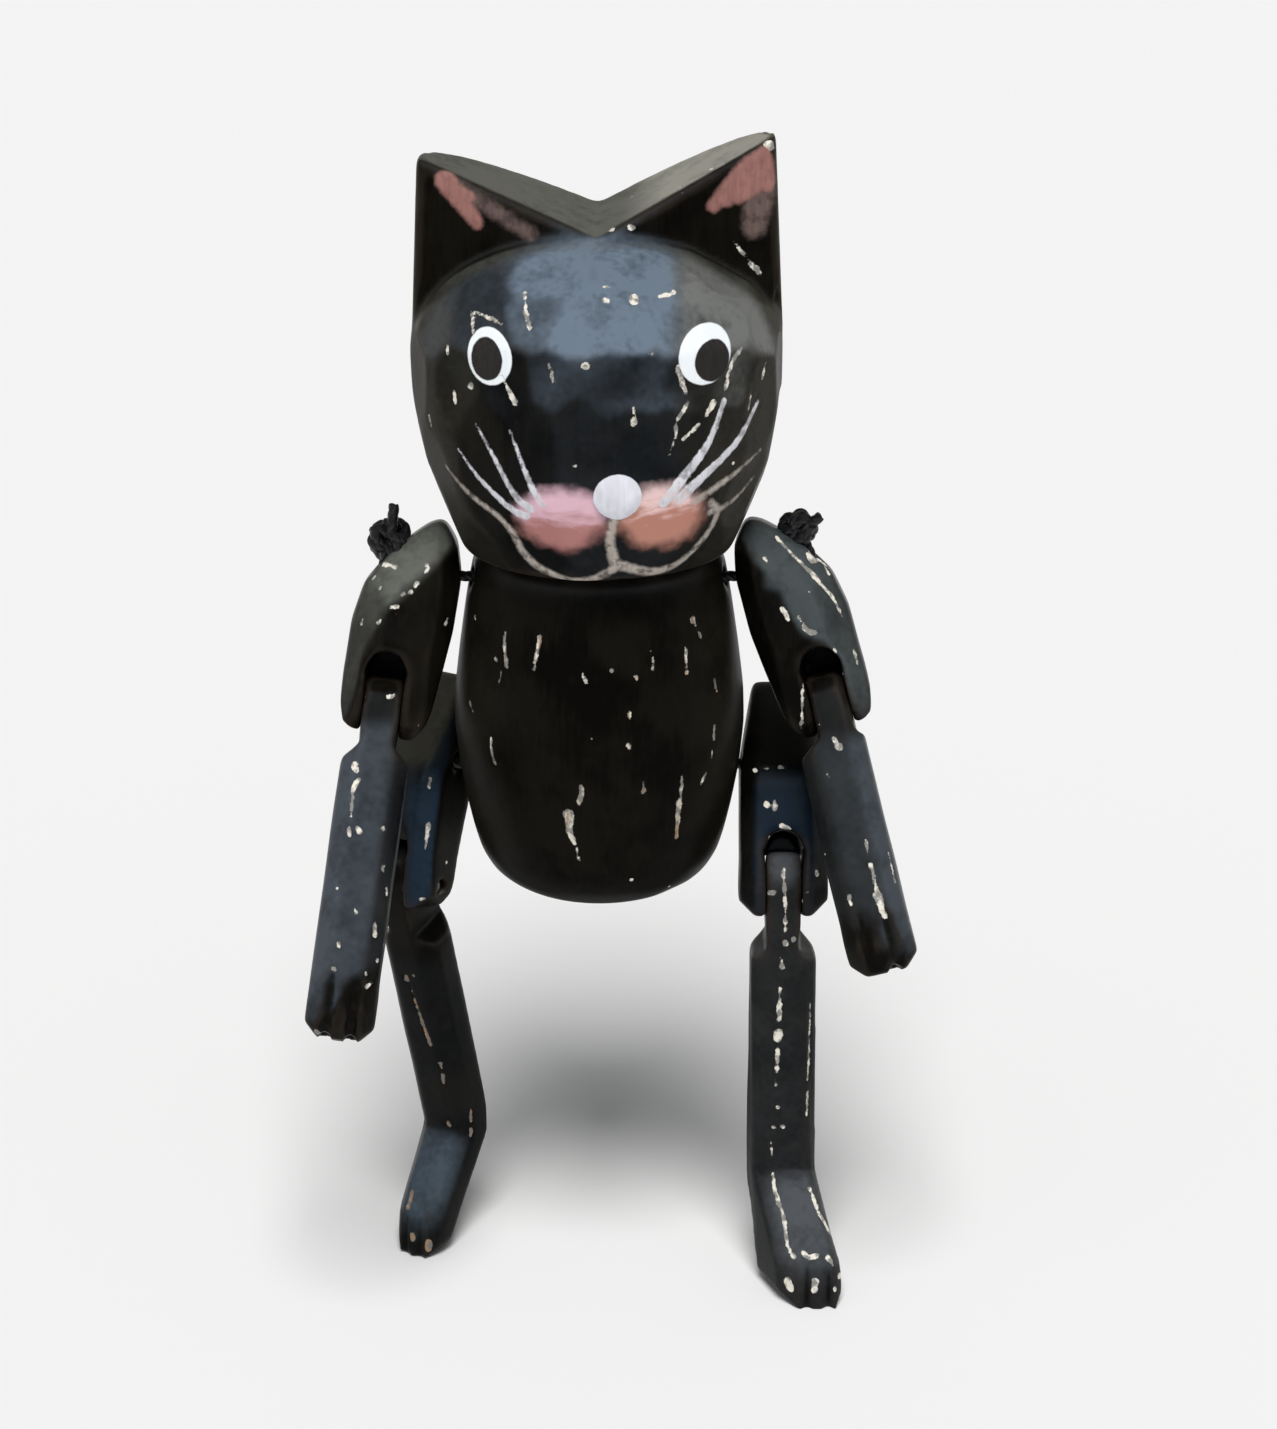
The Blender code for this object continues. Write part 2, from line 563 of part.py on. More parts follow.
def make_leg(word, side, yaw, thigh_lean, shin_lean, sole, toe_out, narrow):
    hip_x = hip_place()
    place = (side * hip_x, HIP_Y, HIP_HEIGHT)
    hip = joint("hip_joint_" + word, FIGURE, place, (0, 0, side * math.radians(yaw)))
    leg = joint("thigh_joint_" + word, hip, (0, 0, 0), (-math.radians(thigh_lean), 0, 0))
    inner = stand_off(yaw)
    outer = inner + THIGH_WIDTH
    middle = side * (inner + outer) / 2
    half = THIGH_DEPTH / 2
    knee = -THIGH_PITCH
    end = knee - THIGH_END
    top = THIGH_TOP
    outline = [
        (-0.97 * half, -0.22 * top), (-0.86 * half, -0.05 * top), (0.3 * half, 0.95 * top),
        (0.6 * half, top), (half, 0.62 * top), (1.04 * half, -0.23 * top), (0.86 * half, 0.85 * knee),
        (0.82 * half, knee), (0.66 * half, end), (-0.62 * half, end), (-0.8 * half, knee),
        (-0.9 * half, 0.7 * knee),
    ]
    low, high = sorted((side * inner, side * outer))
    planes = outline_planes(outline, side_place, low, high, THIGH_CHAMFER)
    planes.append(((side * inner, 0.0, 0.0), (-side, 0.0, THIGH_TAPER)))
    thigh = solid("thigh_" + word, hewn(planes), leg, BLACK)
    slot = KNEE_TONGUE / 2 + AIR
    far = 4 * THIGH_WIDTH
    fork = (slot, KNEE_SLOT_RISE, KNEE_SLOT_BACK, KNEE_OPENING)
    cut_fork(thigh, "knee_slot_" + word, leg, middle, knee, *fork)
    boolean(thigh, solid("thigh_bore_" + word, rod(CORD_HOLE, (-far, 0, 0), (far, 0, 0)), leg))
    floor_of_pocket = outer - POCKET_DEPTH
    pocket = rod(KNOT_LONG + AIR, (side * floor_of_pocket, 0, 0), (side * far, 0, 0), 20)
    boolean(thigh, solid("knot_pocket_" + word, pocket, leg))
    hole = rod(PIN_HOLE, (-far, 0, knee), (far, 0, knee), 12)
    boolean(thigh, solid("knee_bore_" + word, hole, leg))
    pin_inner = side * (inner + PIN_RECESS)
    pin_outer = side * (outer - PIN_RECESS)
    pin = rod(PIN_RADIUS, (pin_inner, 0, knee), (pin_outer, 0, knee), 12)
    solid("knee_pin_" + word, pin, leg, STEEL, 0.35, 1.0)
    centre = (side * (floor_of_pocket + AIR + KNOT_FLAT), 0, 0)
    knot = lump(centre, (KNOT_FLAT, KNOT_LONG, KNOT_LONG))
    solid("hip_knot_" + word, knot, leg, COTTON, 0.85)

    back = math.radians(shin_lean)
    hinge = joint("knee_joint_" + word, leg, (middle, 0, knee), (math.radians(thigh_lean) + back, 0, 0))
    knee_height = HIP_HEIGHT - THIGH_PITCH * math.cos(math.radians(thigh_lean))
    ankle = -ANKLE_DROP * math.sin(back)
    toe = ankle + FOOT_REACH

    def ground(forward, height):
        """A point given forward of the knee and above the ground, in the lower leg's own frame."""
        y = -forward
        z = height - knee_height
        return (y * math.cos(back) + z * math.sin(back), -y * math.sin(back) + z * math.cos(back))

    deep = SHIN_DEPTH / 2
    tongue = KNEE_TONGUE_TOP
    outline = [
        (-0.9 * deep, 0.35 * tongue), (-0.62 * deep, 0.85 * tongue), (0, tongue),
        (0.62 * deep, 0.85 * tongue), (0.9 * deep, 0.35 * tongue), (deep, -KNEE_SHOULDER),
        (deep, -ANKLE_DROP + HEEL_RISE), (HEEL_BACK * deep, -ANKLE_DROP - HEEL_DROP), ground(toe - sole, 0),
        ground(toe, 0), ground(toe - TOE_BACKSET, TOE_HEIGHT), (-deep, -ANKLE_DROP + INSTEP_RISE),
        (-deep, -KNEE_SHOULDER),
    ]
    broad = SHIN_WIDTH / 2
    shape = prism(outline, -broad, broad, SHIN_CHAMFER, side_place)
    for vert in shape.verts:
        forward = vert.co.z * math.sin(back) - vert.co.y * math.cos(back)
        if vert.co.z < -ANKLE_DROP + HEEL_RISE:
            reach = max(0.0, forward - ankle)
            vert.co.x *= 1.0 - narrow * reach / FOOT_REACH
            vert.co.x += side * toe_out * reach
    shin = solid("lower_leg_" + word, shape, hinge, BLACK)
    cut_tongue(shin, "knee_cheek_" + word, hinge, KNEE_TONGUE, KNEE_SHOULDER, broad)
    hole = rod(PIN_HOLE, (-far, 0, 0), (far, 0, 0), 12)
    boolean(shin, solid("shin_bore_" + word, hole, hinge))
    for place in (-1, 1):
        x = place * (1.0 - narrow) * SHIN_WIDTH / 6 + side * toe_out * FOOT_REACH
        lower = ground(toe + TOE_NOTCH_OUT, -TOE_NOTCH_SPARE)
        upper = ground(toe - TOE_NOTCH_IN, TOE_HEIGHT + TOE_NOTCH_SPARE)
        groove = rod(TOE_NOTCH, (x, *lower), (x, *upper), 4)
        boolean(shin, solid(f"toe_groove_{word}_{place + 1}", groove, hinge))


def make_cords():
    bpy.context.view_layer.update()
    ends = []
    bends = []
    for word, side in (("left", 1), ("right", -1)):
        frame = bpy.data.objects["upper_arm_joint_" + word].matrix_world
        ends.append(frame @ Vector((side * 0.70 * ARM_WIDTH, 0, 0)))
        bends.append(frame @ Vector((0, 0, 0)))
    cord("shoulder_cord", (ends[0], bends[0], bends[1], ends[1]), FIGURE, COTTON)
    ends = []
    bends = []
    for word, side, yaw in (("left", 1, LEG_YAW_LEFT), ("right", -1, LEG_YAW_RIGHT)):
        frame = bpy.data.objects["thigh_joint_" + word].matrix_world
        stop = stand_off(yaw) + THIGH_WIDTH - POCKET_DEPTH - AIR
        ends.append(frame @ Vector((side * stop, 0, 0)))
        bends.append(frame @ Vector((0, 0, 0)))
    cord("hip_cord", (ends[0], bends[0], bends[1], ends[1]), FIGURE, COTTON)


def seat_on_origin():
    """Moves the figure so that its box stands on the origin, centred."""
    bpy.context.view_layer.update()
    graph = bpy.context.evaluated_depsgraph_get()
    found = []
    for obj in PARTS.objects:
        if obj.type == "EMPTY":
            continue
        ready = obj.evaluated_get(graph)
        mesh = ready.to_mesh()
        points = np.empty(len(mesh.vertices) * 3, np.float32)
        mesh.vertices.foreach_get("co", points)
        ready.to_mesh_clear()
        world = np.array(ready.matrix_world)
        found.append(points.reshape(-1, 3) @ world[:3, :3].T + world[:3, 3])
    found = np.concatenate(found)
    low = found.min(axis=0)
    high = found.max(axis=0)
    FIGURE.location = (-(low[0] + high[0]) / 2, -(low[1] + high[1]) / 2, -low[2])


make_body()
make_head()
make_arm(
    "left", 1, SPLAY_LEFT, ARM_LEAN_LEFT, ARM_PITCH_LEFT, FOREARM_LEAN_LEFT, FOREARM_LENGTH_LEFT,
    ELBOW_SHOULDER_LEFT, FOREARM_INSET_LEFT,
)
make_arm(
    "right", -1, SPLAY_RIGHT, ARM_LEAN_RIGHT, ARM_PITCH_RIGHT, FOREARM_LEAN_RIGHT, FOREARM_LENGTH_RIGHT,
    ELBOW_SHOULDER_RIGHT, FOREARM_INSET_RIGHT,
)
make_leg(
    "left", 1, LEG_YAW_LEFT, THIGH_LEAN_LEFT, SHIN_LEAN_LEFT, SOLE_LEFT, TOE_OUT_LEFT, TOE_NARROW_LEFT
)
make_leg(
    "right", -1, LEG_YAW_RIGHT, THIGH_LEAN_RIGHT, SHIN_LEAN_RIGHT, SOLE_RIGHT, TOE_OUT_RIGHT,
    TOE_NARROW_RIGHT,
)
make_cords()
seat_on_origin()
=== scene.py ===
"""The looks of the jointed wooden cat: knife-cut wood under chipped black paint, laid cord and wire nails.

Lengths are in millimetres until a mesh is written. Left and right are the cat's own.
A place on a piece is given as it shows from the front: across from the middle of the piece's
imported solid, and up from its underside.
"""

import json
import math

import bmesh
import bpy
import numpy as np
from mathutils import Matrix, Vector
from mathutils.bvhtree import BVHTree


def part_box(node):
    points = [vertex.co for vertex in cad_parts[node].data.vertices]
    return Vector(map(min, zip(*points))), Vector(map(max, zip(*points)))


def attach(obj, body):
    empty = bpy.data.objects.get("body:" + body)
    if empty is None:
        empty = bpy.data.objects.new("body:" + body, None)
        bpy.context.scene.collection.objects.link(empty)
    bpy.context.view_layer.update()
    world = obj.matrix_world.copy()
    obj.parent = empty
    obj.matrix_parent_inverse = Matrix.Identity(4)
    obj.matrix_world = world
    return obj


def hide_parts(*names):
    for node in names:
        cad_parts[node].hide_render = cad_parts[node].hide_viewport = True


MM = 0.001
TAU = 2 * math.pi
SIDES = ("left", "right")
LIMBS = (("upper_arm", "elbow"), ("forearm", "elbow"), ("thigh", "knee"), ("lower_leg", "knee"))

# Camera, as the photograph was taken
CAMERA_ACROSS = 5.368
CAMERA_AWAY = 412.0
CAMERA_HEIGHT = 242.0
CAMERA_PITCH = math.radians(20.667)
CAMERA_LENS = 80.62
CAMERA_SENSOR = 36
CAMERA_NEAR = 10.0

# Light of the room as the figure meets it, and the floor
SKY_AHEAD = (0.38, 0.42, 0.46)
SKY_OVERHEAD = (0.15, 0.147, 0.13)
ROOM_BEHIND = (0.24, 0.23, 0.20)
ROOM_AHEAD = (0.04, 0.04, 0.05)
ROOM_TILT = 0.25
ROOM_EASE = (-0.45, 0.35)
SKY_TILT = 0.82
SKY_EASE = (-0.5, 0.15)
SKY_RISE = (0.10, 0.42)
KEY_STRENGTH = 2.96
KEY_COLOUR = (1.0, 0.99, 0.98)
KEY_HEIGHT = math.radians(60)
KEY_SPREAD = math.radians(25)
FLOOR_COLOUR = (0.85, 0.845, 0.85)
FLOOR_HALF = 30000.0

# Skin of the wooden pieces
HEAD_VOXEL = 0.42
BODY_VOXEL = 0.45
LIMB_VOXEL = 0.32
STEP_ROUNDS = 4
SOFT_ROUNDS = 2
WELD = 0.002
HEAD_WEAR = 7
BODY_WEAR = 10
LIMB_WEAR = 20
HEAD_SMOOTH = 5
BODY_SMOOTH = 3
JOINT_KEEP = 0.8
JOINT_INNER = 5.0
JOINT_OUTER = 8.5
JOINT_FIT = 0.14
JOINT_CHEEK = (0.7, 0.95)
TIP_KEEP = (5.0, 9.0)
ANKLE_HEIGHT = 18.0
ANKLE_REACH = (4.0, 10.0)
ANKLE_ROUNDS = 150
NOTCH_DEPTH = 0.95
NOTCH_HALF = 1.0
NOTCH_TOP = (3.0, 6.5)
NOTCH_SLOPE = 0.12
NOTCH_BEHIND = (0.0, 0.5)
HEAD_CUTS = {"depth": 0.45, "reach": 7.0, "spacing": 7.5, "seed": 3, "top": 39.0}
BODY_CUTS = {"depth": 0.16, "reach": 17.0, "spacing": 9.0, "seed": 5}
CUT_LEAN = 0.06
CUT_TRIES = 6000
CUT_TURNED = 0.35
CUT_FLAT = 0.996
CUT_FACING = 0.75
LIMB_WAVE = 0.16
WAVE_SIZE = 7.0
EDGE_ROUNDS = 24
EDGE_FULL = 0.14
FAR = 4.0
STROKE_STEP = 0.2
CHIP_DEPTH = 0.12
PAINT_RISE = 0.07
MARK_RIM = 0.5
NOSE_RISE = 0.45

# Numbers that scramble the cells of the random hollows and patches
CELL_STEPS = np.array((73856093, 19349663, 83492791))
CELL_SEED = 2654435761
CELL_MIX = 1274126177
CELL_TOP = 65535

# Where the painted sheen lies, a painted reflection of the room that pales the black paint, with painted shade
# where it is taken away, and where the coat is glossier: pairs are where a tone starts and is full
POLISH = (0.12, 0.46)
FACE_FRONT = (0.05, 0.4)
HEAD_SIDES = (0.45, 0.9)
BROW_UP = (0.02, 0.38)
BROW_FADE = (2.0, 5.5)
BROW_LEAST = 0.05
BROW_PATCH = 4.0
BROW_SEED = 9
BROW_RAGGED = 0.2
BROW_SIDE = (0.1, 0.42)
BROW_SIDE_SHADE = 0.85
OLIVE_FROM = (8.5, 12.5)
OLIVE_RAGGED = 3
SADDLE_UP = (0.55, 0.85)
PALE_FROM = (2.0, 11.0)
PALE_FACING = (0.2, 0.4)
BODY_SIDES = (0.45, 0.95)
BODY_SIDE_SHEEN = 0.35
ARM_SIDES = (0.35, 0.8)
ARM_SIDE_SHADE = 0.6
THIGH_TOP = (0.5, 0.8)
RIM_PATCH = 2.5
RIM_SEED = 20
RIM_EASE = (-0.8, 1.2)
# Painted shade: the share of the painted sheen taken out of the hollows
HOLLOW_SHADE = 0.9

# Gloss and relief of the paint
COAT_ROUGHNESS = 0.36
COAT_IOR = 1.9
PAINT_ROUGHNESS = 0.36
BARE_ROUGHNESS = 0.72
MARK_ROUGHNESS = 0.46
PEEL_DEPTH = 0.010
SWELL_DEPTH = 0.035
BRUSH_DEPTH = 0.006
BARE_DEPTH = 0.05
MARK_HEIGHT = 0.03
FLECK_RIM = (-0.04, 0.06)
CHIP_RIM = (-0.07, 0.07)
CHEEK_RIM = (-1.5, 0.9)
CHEEK_RAGGED = 2.2
CHEEK_BLEND = 3.6

# Paint colours, and the colours of painted sheen
INK = (0.0018, 0.0016, 0.0011)
INK_THIN = (0.0065, 0.0056, 0.0038)
RUBBED = (0.03, 0.023, 0.018)
# Painted sheen: these six colours stand in for the room's light reflected in the black paint, on the faces that
# would meet it
BROW_SHEEN_BLUE = (0.13, 0.17, 0.22)
BROW_SHEEN_OLIVE = (0.15, 0.155, 0.15)
SADDLE_SHEEN_OLIVE = (0.095, 0.097, 0.084)
SADDLE_SHEEN_PALE = (0.31, 0.30, 0.262)
SIDE_SHEEN_BROWN = (0.028, 0.025, 0.018)
THIGH_SHEEN_OLIVE = (0.105, 0.10, 0.076)
CREAM = (0.76, 0.72, 0.63)
TAN = (0.30, 0.20, 0.125)
DULL_GREY = (0.15, 0.15, 0.145)
EYE_WHITE = (0.84, 0.88, 0.90)
PUPIL = (0.03, 0.027, 0.026)
NOSE_WHITE = (0.76, 0.76, 0.82)
WHISKER_WHITE = (0.74, 0.74, 0.78)
MOUTH_BEIGE = (0.47, 0.42, 0.37)
SALMON = (0.43, 0.195, 0.18)
PALE_PINK = (0.78, 0.50, 0.58)
APRICOT = (0.50, 0.235, 0.18)
BLUSH = (0.90, 0.64, 0.62)
EAR_PINK = (0.33, 0.16, 0.14)
EAR_DULL = (0.15, 0.105, 0.095)
WAX_BLACK = (0.004, 0.004, 0.0045)
WAX_GREY = (0.013, 0.0125, 0.014)
NAIL_STEEL = (0.10, 0.096, 0.092)
NAIL_BRASSY = (0.58, 0.44, 0.25)
DOWEL_PALE = (0.60, 0.44, 0.28)
DOWEL_DARK = (0.40, 0.26, 0.14)

# Eyes, nose and cheeks of the face: centre across and up, half width, half height
PAD_HEIGHT = 9.5
NOSE_HALF = 3.05
DISCS = {
    "eye": ((-13.3, 30.0, 2.85, 3.45), (13.7, 30.2, 3.3, 3.65)),
    "pupil": ((-13.65, 29.7, 2.0, 2.6), (14.6, 29.4, 2.2, 2.55)),
    "nose": ((2.7, 12.8, NOSE_HALF, NOSE_HALF),),
    "pad_right": ((-4.4, PAD_HEIGHT, 6.0, 4.5),),
    "pad_left": ((8.2, 9.6, 5.7, 4.6),),
}

# Brush strokes on the face: half width, or that at start and end, then the places the brush goes through.
# The dot is left bare of paint.
FACE_STROKES = {
    "whisker": (
        (0.6, 0.12, (-8.3, 10.8), (-10.4, 12.6), (-13.3, 17.8), (-15.3, 21.2)),
        (0.5, 0.12, (-6.9, 11.6), (-8.2, 14), (-9.4, 17), (-10.8, 21)),
        (0.6, 0.12, (-9, 9.6), (-11.5, 10.8), (-15.2, 14.1), (-17.6, 17.4)),
        (0.75, 0.4, (8.6, 11.6), (10.4, 14), (14.2, 18.9), (16.2, 24.1)),
        (0.75, 0.35, (10.6, 11.8), (12.4, 13.6), (17.6, 17.8), (20.6, 22.5)),
    ),
    "mouth": (
        (0.44, 0.16, (-10.7, 6.9), (-12.6, 8.9), (-16.2, 11.2), (-19.4, 14.2)),
        (0.48, 0.16, (12.5, 11.3), (17, 13.4), (21.1, 15.7)),
        (0.44, 0.16, (14.6, 9.2), (17.7, 9.8), (20.3, 11.9)),
        (0.4, 0.62, (-10.7, 6.9), (-9.3, 4), (-7, 1.9), (-3.6, 0.6), (0, 1), (2.6, 2.6)),
        (0.4, 0.7, (14.6, 10.6), (15.5, 9.2), (14.8, 7), (13.1, 4.4), (10.2, 2.1), (6.8, 1.5), (2.8, 2.8)),
        (0.5, 0.66, (2.2, 9.6), (1.8, 6.2), (2.5, 2.8)),
    ),
    "ear": (
        (1.35, 0.85, (-19.3, 49.4), (-17.3, 46.8), (-15.3, 44.2)),
        (1.0, 0.7, (-18.9, 48.8), (-16.2, 47.4)),
        (0.8, 0.85, (21.4, 53), (18.4, 50.8), (14.9, 46.4)),
        (1.0, 1.2, (21.6, 52), (21.8, 49.2)),
        (1.5, 1.2, (20.4, 50.8), (18.8, 49.2), (16.6, 47.4)),
        (1.3, 1.1, (20.2, 49), (18, 47.6)),
    ),
    "ear_dry": (
        (1.0, 0.8, (-18.2, 48.8), (-14.5, 46.6), (-10.8, 44.4), (-8.4, 43)),
        (2.0, 1.5, (21, 48.2), (20.6, 46), (20.2, 43.6)),
    ),
    "dot": ((0.55, (18.3, 45.6), (18.4, 45.4)),),
}

# Knife cuts on the face: across, up, and how far each leans back
FACE_CUTS = (
    (-6, 39.4, 0), (5.5, 39.8, 0),
    (-14.8, 33, 0), (-8.2, 34.6, 0), (-1.6, 33.2, 0), (4.2, 34.3, 0),
    (10.6, 33.4, 0), (16.4, 33, 0),
    (-17.6, 26.2, 0.02), (-11.8, 25.4, 0.06), (-5.6, 26.4, 0.07), (0.6, 25.2, 0.075), (6.4, 26.2, 0.065),
    (12.2, 25, 0.055), (17.6, 26.4, 0.04),
    (-14.5, 19.4, 0), (-8, 17.8, 0.02), (-1.8, 19, 0), (4.6, 17.6, 0.02),
    (10.4, 19.2, 0), (16.5, 18, 0),
)

# Painted sheen on the limbs, a painted reflection of the room on their paler sides: the way they face, where the
# tone starts and is full, its least share and colour
LIMB_SHEENS = {
    "upper_arm_left": ((0.1, 0.0, 1.0), -1.0, 0.3, 0.0, (0.058, 0.069, 0.072)),
    "upper_arm_right": ((-0.1, 0.0, 1.0), 0.0, 0.75, 0.04, (0.115, 0.120, 0.104)),
    "forearm_left": ((0.55, -0.2, 0.8), 0.3, 0.95, 0.16, (0.046, 0.056, 0.066)),
    "forearm_right": ((-0.55, -0.2, 0.8), 0.0, 1.0, 0.14, (0.052, 0.063, 0.077)),
    "thigh_left": ((0.0, -1.0, 0.1), 0.66, 0.97, 0.02, (0.004, 0.011, 0.021)),
    "thigh_right": ((0.0, -1.0, 0.1), 0.66, 0.97, 0.02, (0.015, 0.029, 0.047)),
    "lower_leg_left": ((0.0, -0.3, 1.0), 0.25, 0.75, 0.2, (0.064, 0.070, 0.077)),
    "lower_leg_right": ((-0.1, -0.3, 1.0), 0.2, 0.75, 0.04, (0.052, 0.073, 0.094)),
}
# Lower rim of that painted sheen on each arm piece
SHEEN_RIMS = {
    "upper_arm_left": (
        (-9, 28.6), (-7.8, 26.8), (-5.6, 23.6), (-2.5, 19.9), (-0.6, 16.3), (2.7, 14.4),
        (5, 9.5), (8, 4),
    ),
    "upper_arm_right": (
        (-8, 3), (-6.5, 7.4), (-5, 12.5), (-2.7, 17.7), (-0.7, 19.9), (1.5, 21.8),
        (3.9, 24.2), (8, 27.4),
    ),
    "forearm_left": ((-5, 12), (-2, 9.5), (1, 9), (3, 6.5), (6, 4.5)),
    "forearm_right": ((-5.5, 4.5), (-3, 7), (-1, 10), (1, 11.5), (5, 12.5)),
}
# How far below the hinge that painted sheen starts and is full, painted shade above it
SHEEN_TOPS = {"forearm_left": (1.5, 4.5), "forearm_right": (-0.5, 2), "lower_leg_right": (9, 15)}

# Notches between the fingers of each paw, across at a low place
NOTCHES = {"forearm_left": (5.0,), "forearm_right": (-4.1, -0.6)}

